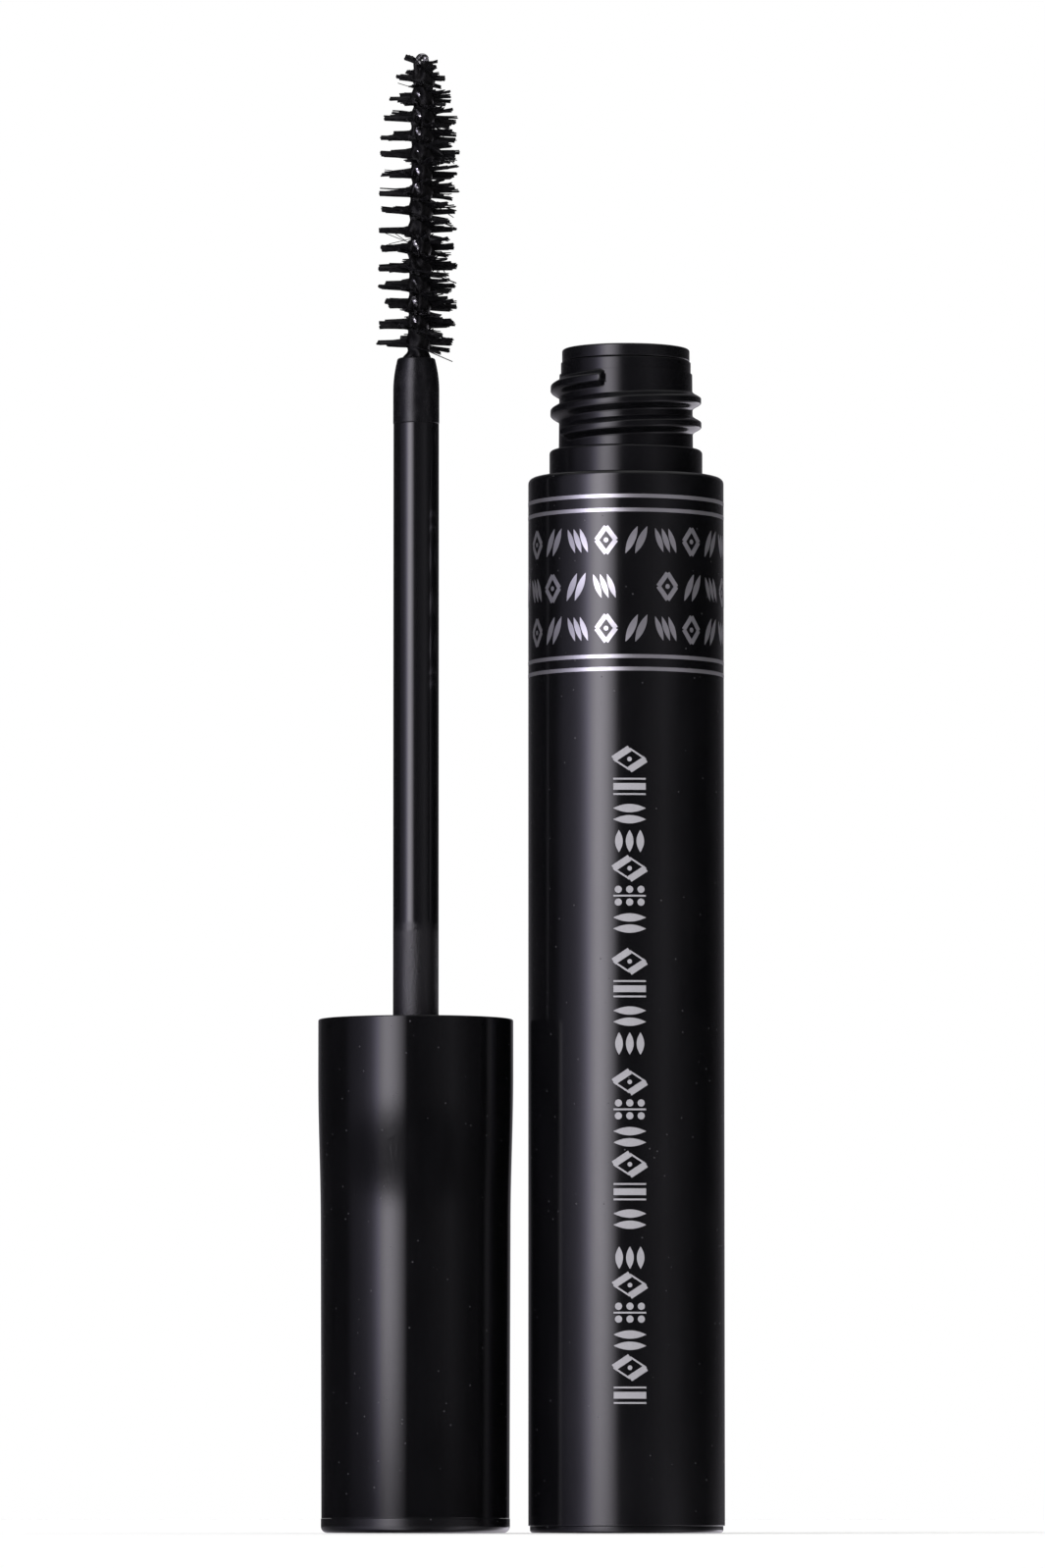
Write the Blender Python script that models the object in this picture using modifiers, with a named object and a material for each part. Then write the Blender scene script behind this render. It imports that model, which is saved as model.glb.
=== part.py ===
"""Mascara tube: the open bottle and, beside it, the applicator standing on the end of its cap.

Metres, +Z up. The origin is the centre of the bottle's base, and the bottle's axis is the Z axis.
The applicator's axis is parallel to it, at x = APPLICATOR_X. It stands upside down, so its heights
are measured from the cap's closed end, which is on the same surface as the bottle's base.
"""

import math

import bmesh
import bpy

MM = 0.001

# Turned pieces and fillets.
TURNED_STEPS = 32
ROD_STEPS = 20
FILLET_STEPS = 2
MERGE_DISTANCE = 0.000001

# Clearances between neighbours.
SEAM_GAP = 0.10 * MM
PRESS_GAP = 0.15 * MM
VIAL_GAP = 0.25 * MM
SEAT_GAP = 0.30 * MM
COLLAR_GAP = 0.10 * MM
WIPER_GAP = 0.10 * MM
STEM_GAP = 0.10 * MM
FERRULE_GAP = 0.10 * MM
GASKET_GAP = 0.10 * MM
GASKET_BORE_GAP = 0.12 * MM
THREAD_GAP = 0.15 * MM
COLLAR_IN_CAP_GAP = 0.095 * MM
GASKET_IN_THREAD_GAP = 0.35 * MM
PASTE_GAP = 0.15 * MM
WIRE_GAP = 0.15 * MM
WIRE_END_GAP = 0.40 * MM
BRISTLE_GAP = 0.10 * MM
BRUSH_CHANNEL_GAP = 0.40 * MM
CAP_TO_BOTTLE_GAP = 1.30 * MM
CAP_TO_SHOULDER_GAP = 0.30 * MM

# Right-hand screw finish, twelve turns to the inch, on the neck and inside the cap.
THREAD_PITCH = 25.4 * MM / 12
THREAD_STEPS_PER_TURN = 16
THREAD_RUN_OUT_TURNS = 0.06
THREAD_RUN_OUT_SCALE = 0.55
NECK_THREAD_CREST_RADIUS = 6.60 * MM
NECK_THREAD_HEIGHT = 0.755 * MM
NECK_THREAD_TURNS = 2.12
NECK_THREAD_START_DEG = 251
NECK_THREAD_BELOW_TOP = 1.87 * MM
CAP_THREAD_HEIGHT = 0.50 * MM
CAP_THREAD_TURNS = 1.75
CAP_THREAD_START_DEG = 90
CAP_THREAD_ABOVE_CEILING = 4.90 * MM

# Bottle: outer sleeve and the plug in its base.
SHOULDER_WIDTH = 1.845 * MM
SLEEVE_WALL = 1.10 * MM
SHOULDER_Z = 91.50 * MM
SHOULDER_THICKNESS = 1.15 * MM
SHOULDER_FILLET = 0.50 * MM
SLEEVE_END_FILLET = 0.12 * MM
BASE_FLANGE_THICKNESS = 0.50 * MM
BASE_FLANGE_STEP = 0.14 * MM
BASE_FLANGE_FILLET = 0.42 * MM
BASE_SPIGOT_HEIGHT = 2.40 * MM
BASE_SPIGOT_FILLET = 0.30 * MM

# Bottle: the vial, its collar and its neck.
VIAL_WALL = 0.85 * MM
VIAL_FLOOR = 1.20 * MM
VIAL_EDGE_FILLET = 0.60 * MM
VIAL_FLOOR_FILLET = 1.20 * MM
VIAL_INNER_SHOULDER_RISE = 2.00 * MM
COLLAR_HEIGHT = 2.45 * MM
COLLAR_FILLET = 0.30 * MM
NECK_TAPER = 0.06 * MM
NECK_LAND_STEP = 0.195 * MM
NECK_LAND_HEIGHT = 1.05 * MM
NECK_HEIGHT = 7.70 * MM
NECK_WALL = 1.345 * MM
SNAP_GROOVE_DEPTH = 0.25 * MM
SNAP_GROOVE_WIDTH = 1.20 * MM
SNAP_GROOVE_BELOW_TOP = 4.70 * MM
SNAP_SLOPE = 0.15 * MM

# Wiper: flange on the neck, tube in its bore, funnel and wiping lip.
WIPER_FLANGE_STEP = 0.10 * MM
WIPER_FLANGE_THICKNESS = 1.05 * MM
WIPER_FLANGE_FILLET = 0.20 * MM
WIPER_MOUTH_FILLET = 0.30 * MM
WIPER_WALL = 0.60 * MM
WIPER_TUBE_LENGTH = 9.20 * MM
WIPER_FUNNEL_LENGTH = 3.30 * MM
WIPER_LIP_GAP = 0.17 * MM
WIPER_LIP_WALL = 0.40 * MM
WIPER_LIP_LENGTH = 0.80 * MM

# Mascara left in the vial, with the channel that the brush leaves.
PASTE_LEVEL_Z = 80.00 * MM
PASTE_CHANNEL_BOTTOM_Z = 6.40 * MM

# Cap: outer shell, end plug, threaded inner cap and its sealing ring.
CAP_HEIGHT = 44.40 * MM
CAP_SHELL_WALL = 0.68 * MM
CAP_TAPER_GROWTH = 0.09 * MM
CAP_FLARE_GROWTH = 0.235 * MM
CAP_TAPER_TOP = 26.50 * MM
CAP_FLARE_TOP = 39.50 * MM
CAP_FLARE_POINTS = 6
CAP_RIM_FILLET = 0.15 * MM
CAP_END_FLANGE_THICKNESS = 1.15 * MM
CAP_END_FLANGE_STEP = 0.04 * MM
CAP_END_FILLET = 0.80 * MM
CAP_END_SPIGOT_HEIGHT = 2.20 * MM
CAP_END_SPIGOT_FILLET = 0.30 * MM
INNER_CAP_RECESS = 0.30 * MM
INNER_CAP_CEILING = 2.00 * MM
INNER_CAP_FILLET = 0.30 * MM
INNER_CAP_WALL = 0.55 * MM
HUB_WALL = 1.12 * MM
HUB_LENGTH = 8.30 * MM
HUB_FLOOR = 1.60 * MM
GASKET_THICKNESS = 1.00 * MM

# Wand: stem, ferrule, twisted wire and bristles, with heights above the cap's closed end.
STEM_RADIUS = 1.98 * MM
STEM_TOP_Z = 96.60 * MM
STEM_END_FILLET = 0.25 * MM
STEM_TOP_FILLET = 0.10 * MM
STEM_TOP_WALL = 0.73 * MM
STEM_SOCKET_DEPTH = 8.60 * MM
FERRULE_STEP = 0.03 * MM
FERRULE_TAPER = 0.21 * MM
FERRULE_HEIGHT = 5.35 * MM
FERRULE_TAPER_HEIGHT = 2.60 * MM
FERRULE_TIP_FILLET = 0.40 * MM
FERRULE_SPIGOT_LENGTH = 8.00 * MM
FERRULE_FLOOR = 0.80 * MM
WIRE_RADIUS = 0.28 * MM
WIRE_STRAND_OFFSET = 0.33 * MM
WIRE_LEAD = 3.30 * MM
WIRE_TIP_Z = 128.90 * MM
TUFT_Z = 103.46 * MM
WIRE_STEPS_PER_TURN = 7
WIRE_BEND_STEPS = 5
BRISTLE_START_Z = 102.90 * MM
BRISTLE_END_Z = 128.10 * MM
BRISTLE_RADIUS = 3.42 * MM
BRISTLE_TIP_RADIUS = 1.30 * MM
BRISTLE_SHOULDER_LENGTH = 1.20 * MM
BRISTLE_TIP_LENGTH = 7.00 * MM
BRISTLE_HUB_WALL = 0.30 * MM
BRISTLE_FIN_HALF_DEG = 46
BRISTLE_STEPS_PER_TURN = 10
BRISTLE_HOLE_SIDES = 6

# Radii that follow from the ones above, from the neck outwards and from the stem outwards.
NECK_ROOT_RADIUS = NECK_THREAD_CREST_RADIUS - NECK_THREAD_HEIGHT
NECK_TOP_RADIUS = NECK_ROOT_RADIUS - NECK_TAPER
NECK_LAND_RADIUS = NECK_ROOT_RADIUS - NECK_LAND_STEP
NECK_BORE_RADIUS = NECK_ROOT_RADIUS - NECK_WALL
WIPER_FLANGE_RADIUS = NECK_LAND_RADIUS - WIPER_FLANGE_STEP
INNER_CAP_BORE_RADIUS = NECK_THREAD_CREST_RADIUS + THREAD_GAP
INNER_CAP_RADIUS = INNER_CAP_BORE_RADIUS + INNER_CAP_WALL
CAP_SHELL_BORE_RADIUS = INNER_CAP_RADIUS + PRESS_GAP
CAP_END_RADIUS = CAP_SHELL_BORE_RADIUS + CAP_SHELL_WALL
CAP_END_FLANGE_RADIUS = CAP_END_RADIUS + CAP_END_FLANGE_STEP
CAP_RIM_RADIUS = CAP_END_RADIUS + CAP_TAPER_GROWTH + CAP_FLARE_GROWTH
COLLAR_RADIUS = INNER_CAP_BORE_RADIUS - COLLAR_IN_CAP_GAP
SLEEVE_RADIUS = COLLAR_RADIUS + SHOULDER_WIDTH
SLEEVE_BORE_RADIUS = SLEEVE_RADIUS - SLEEVE_WALL
VIAL_RADIUS = SLEEVE_BORE_RADIUS - VIAL_GAP
VIAL_BORE_RADIUS = VIAL_RADIUS - VIAL_WALL
GASKET_RADIUS = INNER_CAP_BORE_RADIUS - CAP_THREAD_HEIGHT - GASKET_IN_THREAD_GAP
STEM_SOCKET_RADIUS = STEM_RADIUS - STEM_TOP_WALL
FERRULE_RADIUS = STEM_RADIUS + FERRULE_STEP
FERRULE_TIP_RADIUS = FERRULE_RADIUS - FERRULE_TAPER
WIPER_LIP_RADIUS = STEM_RADIUS + WIPER_LIP_GAP
HUB_RADIUS = STEM_RADIUS + STEM_GAP + HUB_WALL
APPLICATOR_X = -(SLEEVE_RADIUS + CAP_TO_BOTTLE_GAP + CAP_RIM_RADIUS)

# Heights that follow from the ones above.
SLEEVE_BOTTOM_Z = BASE_FLANGE_THICKNESS + SEAM_GAP
VIAL_BOTTOM_Z = BASE_FLANGE_THICKNESS + BASE_SPIGOT_HEIGHT + SEAT_GAP
VIAL_FLOOR_Z = VIAL_BOTTOM_Z + VIAL_FLOOR
VIAL_TOP_Z = SHOULDER_Z - SHOULDER_THICKNESS - PRESS_GAP
COLLAR_TOP_Z = SHOULDER_Z + COLLAR_HEIGHT
NECK_TOP_Z = COLLAR_TOP_Z + NECK_HEIGHT
WIPER_FLANGE_Z = NECK_TOP_Z + SEAM_GAP
MOUTH_Z = WIPER_FLANGE_Z + WIPER_FLANGE_THICKNESS
CAP_SHELL_BOTTOM_Z = CAP_END_FLANGE_THICKNESS + SEAM_GAP
INNER_CAP_RIM_Z = CAP_HEIGHT - INNER_CAP_RECESS
NECK_REACH = MOUTH_Z - SHOULDER_Z - CAP_TO_SHOULDER_GAP
CEILING_Z = CAP_HEIGHT - NECK_REACH - GASKET_THICKNESS - 2 * GASKET_GAP
CEILING_BACK_Z = CEILING_Z - INNER_CAP_CEILING
HUB_BOTTOM_Z = CEILING_BACK_Z - HUB_LENGTH
STEM_BOTTOM_Z = HUB_BOTTOM_Z + HUB_FLOOR + STEM_GAP


def clear_scene():
    for old in list(bpy.data.objects):
        bpy.data.objects.remove(old, do_unlink=True)


def new_collection(name):
    collection = bpy.data.collections.new(name)
    bpy.context.scene.collection.children.link(collection)
    return collection


def new_material(name, colour, roughness, metallic=0.0):
    material = bpy.data.materials.new(name)
    material.use_nodes = True
    shader = material.node_tree.nodes["Principled BSDF"]
    shader.inputs["Base Color"].default_value = (*colour, 1.0)
    shader.inputs["Roughness"].default_value = roughness
    shader.inputs["Metallic"].default_value = metallic
    return material


def corner_arc(before, corner, after, fillet):
    """Points of the arc that rounds one corner of an outline."""
    to_before = (before[0] - corner[0], before[1] - corner[1])
    to_after = (after[0] - corner[0], after[1] - corner[1])
    length_before = math.hypot(*to_before)
    length_after = math.hypot(*to_after)
    unit_before = (to_before[0] / length_before, to_before[1] / length_before)
    unit_after = (to_after[0] / length_after, to_after[1] / length_after)
    half_angle = math.acos(unit_before[0] * unit_after[0] + unit_before[1] * unit_after[1]) / 2
    setback = min(fillet / math.tan(half_angle), 0.45 * length_before, 0.45 * length_after)
    to_centre = setback / math.cos(half_angle) ** 2 / 2
    centre = (
        corner[0] + (unit_before[0] + unit_after[0]) * to_centre,
        corner[1] + (unit_before[1] + unit_after[1]) * to_centre,
    )
    first = (corner[0] + unit_before[0] * setback, corner[1] + unit_before[1] * setback)
    last = (corner[0] + unit_after[0] * setback, corner[1] + unit_after[1] * setback)
    start = math.atan2(first[1] - centre[1], first[0] - centre[0])
    sweep = math.atan2(last[1] - centre[1], last[0] - centre[0]) - start
    sweep = (sweep + math.pi) % (2 * math.pi) - math.pi
    radius = math.dist(first, centre)
    angles = [start + sweep * step / FILLET_STEPS for step in range(FILLET_STEPS + 1)]
    return [(centre[0] + radius * math.cos(a), centre[1] + radius * math.sin(a)) for a in angles]


def rounded(corners):
    """An outline from (radius, height) corners. A third value rounds that corner by that radius."""
    points = []
    for index, corner in enumerate(corners):
        if len(corner) == 2:
            points.append(corner)
            continue
        before = corners[index - 1][:2]
        after = corners[(index + 1) % len(corners)][:2]
        points += corner_arc(before, corner[:2], after, corner[2])
    return points


def turned(name, corners, material, collection, x=0.0, steps=TURNED_STEPS):
    """A solid of revolution about the vertical line at x.

    An outline that meets the axis is an open line between its two ends there. Any other is a ring.
    """
    outline = rounded(corners)
    count = len(outline)
    is_ring = corners[0][0] > 0
    edges = [(index, index + 1) for index in range(count - 1)]
    if is_ring:
        edges.append((count - 1, 0))
    mesh = bpy.data.meshes.new(name)
    mesh.from_pydata([(radius, 0.0, height) for radius, height in outline], edges, [])
    solid = bpy.data.objects.new(name, mesh)
    collection.objects.link(solid)
    solid.location.x = x
    mesh.materials.append(material)
    screw = solid.modifiers.new("turn", "SCREW")
    screw.axis = "Z"
    screw.angle = 2 * math.pi
    screw.steps = steps
    screw.render_steps = steps
    screw.use_merge_vertices = True
    screw.merge_threshold = MERGE_DISTANCE
    screw.use_smooth_shade = True
    return solid


def tube(name, points, radius, collection, scales=None):
    """A round bar along a line of points, with filled ends."""
    curve = bpy.data.curves.new(name, "CURVE")
    curve.dimensions = "3D"
    curve.bevel_depth = radius
    curve.bevel_resolution = 2
    curve.use_fill_caps = True
    spline = curve.splines.new("POLY")
    spline.points.add(len(points) - 1)
    for index, point in enumerate(points):
        spline.points[index].co = (*point, 1.0)
        spline.points[index].radius = scales[index] if scales else 1.0
    bar = bpy.data.objects.new(name, curve)
    collection.objects.link(bar)
    return bar


def as_mesh(bar, collection):
    """The bar made a closed mesh, so that a Boolean can use it."""
    bpy.context.view_layer.update()
    graph = bpy.context.evaluated_depsgraph_get()
    mesh = bpy.data.meshes.new_from_object(bar.evaluated_get(graph))
    welded = bmesh.new()
    welded.from_mesh(mesh)
    bmesh.ops.remove_doubles(welded, verts=welded.verts, dist=MERGE_DISTANCE)
    bmesh.ops.recalc_face_normals(welded, faces=welded.faces)
    welded.to_mesh(mesh)
    welded.free()
    name = bar.name
    solid = bpy.data.objects.new(name + "_solid", mesh)
    solid.matrix_world = bar.matrix_world
    collection.objects.link(solid)
    bpy.data.objects.remove(bar, do_unlink=True)
    return solid


def join(solid, other):
    """Unites another solid with this one, and keeps the other out of the model."""
    other.hide_render = True
    other.display_type = "WIRE"
    union = solid.modifiers.new("join " + other.name, "BOOLEAN")
    union.operation = "UNION"
    union.solver = "EXACT"
    union.object = other


def thread_ridge(name, centre_radius, ridge_radius, start_deg, low_z, turns, x, collection):
    """The ridge of a right-hand thread: a round bar on a helix, tapered where it runs out."""
    count = round(turns * THREAD_STEPS_PER_TURN)
    points = []
    scales = []
    for step in range(count + 1):
        turn = turns * step / count
        angle = math.radians(start_deg) + 2 * math.pi * turn
        point = (centre_radius * math.cos(angle), centre_radius * math.sin(angle), low_z + turn * THREAD_PITCH)
        points.append(point)
        from_end = min(turn, turns - turn)
        run_out = min(from_end / THREAD_RUN_OUT_TURNS, 1.0)
        scales.append(THREAD_RUN_OUT_SCALE + (1 - THREAD_RUN_OUT_SCALE) * run_out)
    bar = tube(name, points, ridge_radius, collection, scales)
    bar.location.x = x
    return as_mesh(bar, collection)


def cap_radius(height):
    """Outer radius of the cap: a slow taper, then a smooth flare to the straight rim."""
    taper = min(height / CAP_TAPER_TOP, 1.0)
    flare = min(max((height - CAP_TAPER_TOP) / (CAP_FLARE_TOP - CAP_TAPER_TOP), 0.0), 1.0)
    return CAP_END_RADIUS + CAP_TAPER_GROWTH * taper + CAP_FLARE_GROWTH * flare * flare * (3 - 2 * flare)


def build_outer_sleeve(material, collection):
    hole_radius = COLLAR_RADIUS + COLLAR_GAP
    corners = [
        (hole_radius, SHOULDER_Z),
        (SLEEVE_RADIUS, SHOULDER_Z, SHOULDER_FILLET),
        (SLEEVE_RADIUS, SLEEVE_BOTTOM_Z, SLEEVE_END_FILLET),
        (SLEEVE_BORE_RADIUS, SLEEVE_BOTTOM_Z),
        (SLEEVE_BORE_RADIUS, SHOULDER_Z - SHOULDER_THICKNESS),
        (hole_radius, SHOULDER_Z - SHOULDER_THICKNESS),
    ]
    return turned("outer_sleeve", corners, material, collection)


def build_base_plug(material, collection):
    flange_radius = SLEEVE_RADIUS - BASE_FLANGE_STEP
    spigot_radius = SLEEVE_BORE_RADIUS - PRESS_GAP
    spigot_top = BASE_FLANGE_THICKNESS + BASE_SPIGOT_HEIGHT
    corners = [
        (0.0, spigot_top),
        (spigot_radius, spigot_top, BASE_SPIGOT_FILLET),
        (spigot_radius, BASE_FLANGE_THICKNESS),
        (flange_radius, BASE_FLANGE_THICKNESS),
        (flange_radius, 0.0, BASE_FLANGE_FILLET),
        (0.0, 0.0),
    ]
    return turned("base_plug", corners, material, collection)


def build_vial(material, collection, cutters):
    groove_radius = NECK_BORE_RADIUS + SNAP_GROOVE_DEPTH
    groove_top = NECK_TOP_Z - SNAP_GROOVE_BELOW_TOP
    groove_bottom = groove_top - SNAP_GROOVE_WIDTH
    inner_shoulder_top = VIAL_TOP_Z - VIAL_WALL
    land_bottom = NECK_TOP_Z - NECK_LAND_HEIGHT
    corners = [
        (0.0, VIAL_FLOOR_Z),
        (VIAL_BORE_RADIUS, VIAL_FLOOR_Z, VIAL_FLOOR_FILLET),
        (VIAL_BORE_RADIUS, inner_shoulder_top - VIAL_INNER_SHOULDER_RISE),
        (NECK_BORE_RADIUS, inner_shoulder_top),
        (NECK_BORE_RADIUS, groove_bottom),
        (groove_radius, groove_bottom + SNAP_SLOPE),
        (groove_radius, groove_top - SNAP_SLOPE),
        (NECK_BORE_RADIUS, groove_top),
        (NECK_BORE_RADIUS, NECK_TOP_Z),
        (NECK_LAND_RADIUS, NECK_TOP_Z),
        (NECK_LAND_RADIUS, land_bottom),
        (NECK_TOP_RADIUS, land_bottom),
        (NECK_ROOT_RADIUS, COLLAR_TOP_Z),
        (COLLAR_RADIUS, COLLAR_TOP_Z, COLLAR_FILLET),
        (COLLAR_RADIUS, VIAL_TOP_Z),
        (VIAL_RADIUS, VIAL_TOP_Z),
        (VIAL_RADIUS, VIAL_BOTTOM_Z, VIAL_EDGE_FILLET),
        (0.0, VIAL_BOTTOM_Z),
    ]
    vial = turned("vial", corners, material, collection)
    high_z = NECK_TOP_Z - NECK_THREAD_BELOW_TOP
    low_z = high_z - NECK_THREAD_TURNS * THREAD_PITCH
    start_deg = NECK_THREAD_START_DEG - 360 * NECK_THREAD_TURNS
    ridge = thread_ridge(
        "neck_thread", NECK_ROOT_RADIUS, NECK_THREAD_HEIGHT, start_deg, low_z, NECK_THREAD_TURNS, 0.0, cutters
    )
    join(vial, ridge)
    return vial


def build_wiper(material, collection):
    tube_radius = NECK_BORE_RADIUS - WIPER_GAP
    bore_radius = tube_radius - WIPER_WALL
    bead_radius = tube_radius + SNAP_GROOVE_DEPTH
    bead_top = NECK_TOP_Z - SNAP_GROOVE_BELOW_TOP - WIPER_GAP
    bead_bottom = bead_top - SNAP_GROOVE_WIDTH + 2 * WIPER_GAP
    tube_bottom = MOUTH_Z - WIPER_TUBE_LENGTH
    lip_top = tube_bottom - WIPER_FUNNEL_LENGTH + WIPER_LIP_LENGTH
    lip_bottom = lip_top - WIPER_LIP_LENGTH
    lip_outer_radius = WIPER_LIP_RADIUS + WIPER_LIP_WALL
    corners = [
        (bore_radius, MOUTH_Z, WIPER_MOUTH_FILLET),
        (WIPER_FLANGE_RADIUS, MOUTH_Z, WIPER_FLANGE_FILLET),
        (WIPER_FLANGE_RADIUS, WIPER_FLANGE_Z),
        (tube_radius, WIPER_FLANGE_Z),
        (tube_radius, bead_top),
        (bead_radius, bead_top - SNAP_SLOPE),
        (bead_radius, bead_bottom + SNAP_SLOPE),
        (tube_radius, bead_bottom),
        (tube_radius, tube_bottom),
        (lip_outer_radius, lip_top),
        (lip_outer_radius, lip_bottom),
        (WIPER_LIP_RADIUS, lip_bottom),
        (WIPER_LIP_RADIUS, lip_top + WIPER_LIP_WALL),
        (bore_radius, tube_bottom + WIPER_WALL),
    ]
    return turned("wiper", corners, material, collection)


def build_mascara_paste(material, collection):
    radius = VIAL_BORE_RADIUS - PASTE_GAP
    bottom = VIAL_FLOOR_Z + PASTE_GAP
    channel_radius = BRISTLE_RADIUS + BRUSH_CHANNEL_GAP
    corners = [
        (0.0, PASTE_CHANNEL_BOTTOM_Z),
        (channel_radius, PASTE_CHANNEL_BOTTOM_Z),
        (channel_radius, PASTE_LEVEL_Z),
        (radius, PASTE_LEVEL_Z),
        (radius, bottom, VIAL_FLOOR_FILLET),
        (0.0, bottom),
    ]
    return turned("mascara_paste", corners, material, collection)


def build_cap_shell(material, collection):
    flare_step = (CAP_FLARE_TOP - CAP_TAPER_TOP) / CAP_FLARE_POINTS
    heights = [CAP_FLARE_TOP - flare_step * index for index in range(CAP_FLARE_POINTS + 1)]
    side = [(cap_radius(height), height) for height in heights]
    corners = [
        (CAP_SHELL_BORE_RADIUS, CAP_HEIGHT, CAP_RIM_FILLET),
        (cap_radius(CAP_HEIGHT), CAP_HEIGHT, CAP_RIM_FILLET),
        *side,
        (cap_radius(CAP_SHELL_BOTTOM_Z), CAP_SHELL_BOTTOM_Z),
        (CAP_SHELL_BORE_RADIUS, CAP_SHELL_BOTTOM_Z),
    ]
    return turned("cap_shell", corners, material, collection, APPLICATOR_X)


def build_cap_end_plug(material, collection):
    spigot_radius = CAP_SHELL_BORE_RADIUS - PRESS_GAP
    spigot_top = CAP_END_FLANGE_THICKNESS + CAP_END_SPIGOT_HEIGHT
    corners = [
        (0.0, spigot_top),
        (spigot_radius, spigot_top, CAP_END_SPIGOT_FILLET),
        (spigot_radius, CAP_END_FLANGE_THICKNESS),
        (CAP_END_FLANGE_RADIUS, CAP_END_FLANGE_THICKNESS),
        (CAP_END_FLANGE_RADIUS, 0.0, CAP_END_FILLET),
        (0.0, 0.0),
    ]
    return turned("cap_end_plug", corners, material, collection, APPLICATOR_X)


def build_inner_cap(material, collection, cutters):
    socket_radius = STEM_RADIUS + STEM_GAP
    corners = [
        (0.0, HUB_BOTTOM_Z + HUB_FLOOR),
        (socket_radius, HUB_BOTTOM_Z + HUB_FLOOR),
        (socket_radius, CEILING_Z),
        (INNER_CAP_BORE_RADIUS, CEILING_Z, INNER_CAP_FILLET),
        (INNER_CAP_BORE_RADIUS, INNER_CAP_RIM_Z),
        (INNER_CAP_RADIUS, INNER_CAP_RIM_Z),
        (INNER_CAP_RADIUS, CEILING_BACK_Z, INNER_CAP_FILLET),
        (HUB_RADIUS, CEILING_BACK_Z, INNER_CAP_FILLET),
        (HUB_RADIUS, HUB_BOTTOM_Z, INNER_CAP_FILLET),
        (0.0, HUB_BOTTOM_Z),
    ]
    inner_cap = turned("inner_cap", corners, material, collection, APPLICATOR_X)
    low_z = CEILING_Z + CAP_THREAD_ABOVE_CEILING
    ridge = thread_ridge(
        "cap_thread",
        INNER_CAP_BORE_RADIUS,
        CAP_THREAD_HEIGHT,
        CAP_THREAD_START_DEG,
        low_z,
        CAP_THREAD_TURNS,
        APPLICATOR_X,
        cutters,
    )
    join(inner_cap, ridge)
    return inner_cap


def build_seal_gasket(material, collection):
    bottom = CEILING_Z + GASKET_GAP
    hole_radius = STEM_RADIUS + GASKET_BORE_GAP
    corners = [
        (hole_radius, bottom + GASKET_THICKNESS),
        (GASKET_RADIUS, bottom + GASKET_THICKNESS),
        (GASKET_RADIUS, bottom),
        (hole_radius, bottom),
    ]
    return turned("seal_gasket", corners, material, collection, APPLICATOR_X)


def build_wand_stem(material, collection):
    socket_bottom = STEM_TOP_Z - STEM_SOCKET_DEPTH
    corners = [
        (0.0, socket_bottom),
        (STEM_SOCKET_RADIUS, socket_bottom),
        (STEM_SOCKET_RADIUS, STEM_TOP_Z),
        (STEM_RADIUS, STEM_TOP_Z, STEM_TOP_FILLET),
        (STEM_RADIUS, STEM_BOTTOM_Z, STEM_END_FILLET),
        (0.0, STEM_BOTTOM_Z),
    ]
    return turned("wand_stem", corners, material, collection, APPLICATOR_X, ROD_STEPS)


def build_brush_ferrule(material, collection):
    head_bottom = STEM_TOP_Z + SEAM_GAP
    head_top = head_bottom + FERRULE_HEIGHT
    spigot_radius = STEM_SOCKET_RADIUS - FERRULE_GAP
    spigot_bottom = head_bottom - FERRULE_SPIGOT_LENGTH
    bore_radius = WIRE_STRAND_OFFSET + WIRE_RADIUS + WIRE_GAP
    corners = [
        (0.0, spigot_bottom + FERRULE_FLOOR),
        (bore_radius, spigot_bottom + FERRULE_FLOOR),
        (bore_radius, head_top),
        (FERRULE_TIP_RADIUS, head_top, FERRULE_TIP_FILLET),
        (FERRULE_RADIUS, head_top - FERRULE_TAPER_HEIGHT),
        (FERRULE_RADIUS, head_bottom),
        (spigot_radius, head_bottom),
        (spigot_radius, spigot_bottom),
        (0.0, spigot_bottom),
    ]
    return turned("brush_ferrule", corners, material, collection, APPLICATOR_X, ROD_STEPS)


def fibre_angle(height):
    """Direction of the bristles at a height: the wire has a left-hand twist, and TUFT_Z has them along X."""
    return -2 * math.pi * (height - TUFT_Z) / WIRE_LEAD


def build_wire_core(material, collection):
    """One wire folded in two and twisted: up one strand, round the bend at the tip, down the other."""
    bend_z = WIRE_TIP_Z - WIRE_STRAND_OFFSET - WIRE_RADIUS
    bottom = STEM_TOP_Z + SEAM_GAP - FERRULE_SPIGOT_LENGTH + FERRULE_FLOOR + WIRE_END_GAP
    count = round((bend_z - bottom) / WIRE_LEAD * WIRE_STEPS_PER_TURN)

    def strand(half_turn):
        points = []
        for step in range(count + 1):
            height = bottom + (bend_z - bottom) * step / count
            angle = fibre_angle(height) + math.pi / 2 + half_turn
            point = (WIRE_STRAND_OFFSET * math.cos(angle), WIRE_STRAND_OFFSET * math.sin(angle), height)
            points.append(point)
        return points

    bend = []
    across = fibre_angle(bend_z) + math.pi / 2
    for step in range(1, WIRE_BEND_STEPS):
        angle = math.pi * step / WIRE_BEND_STEPS
        reach = WIRE_STRAND_OFFSET * math.cos(angle)
        height = bend_z + WIRE_STRAND_OFFSET * math.sin(angle)
        bend.append((reach * math.cos(across), reach * math.sin(across), height))
    points = strand(0.0) + bend + strand(math.pi)[::-1]
    wire = tube("wire_core", points, WIRE_RADIUS, collection)
    wire.location.x = APPLICATOR_X
    wire.data.materials.append(material)
    return wire


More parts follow.
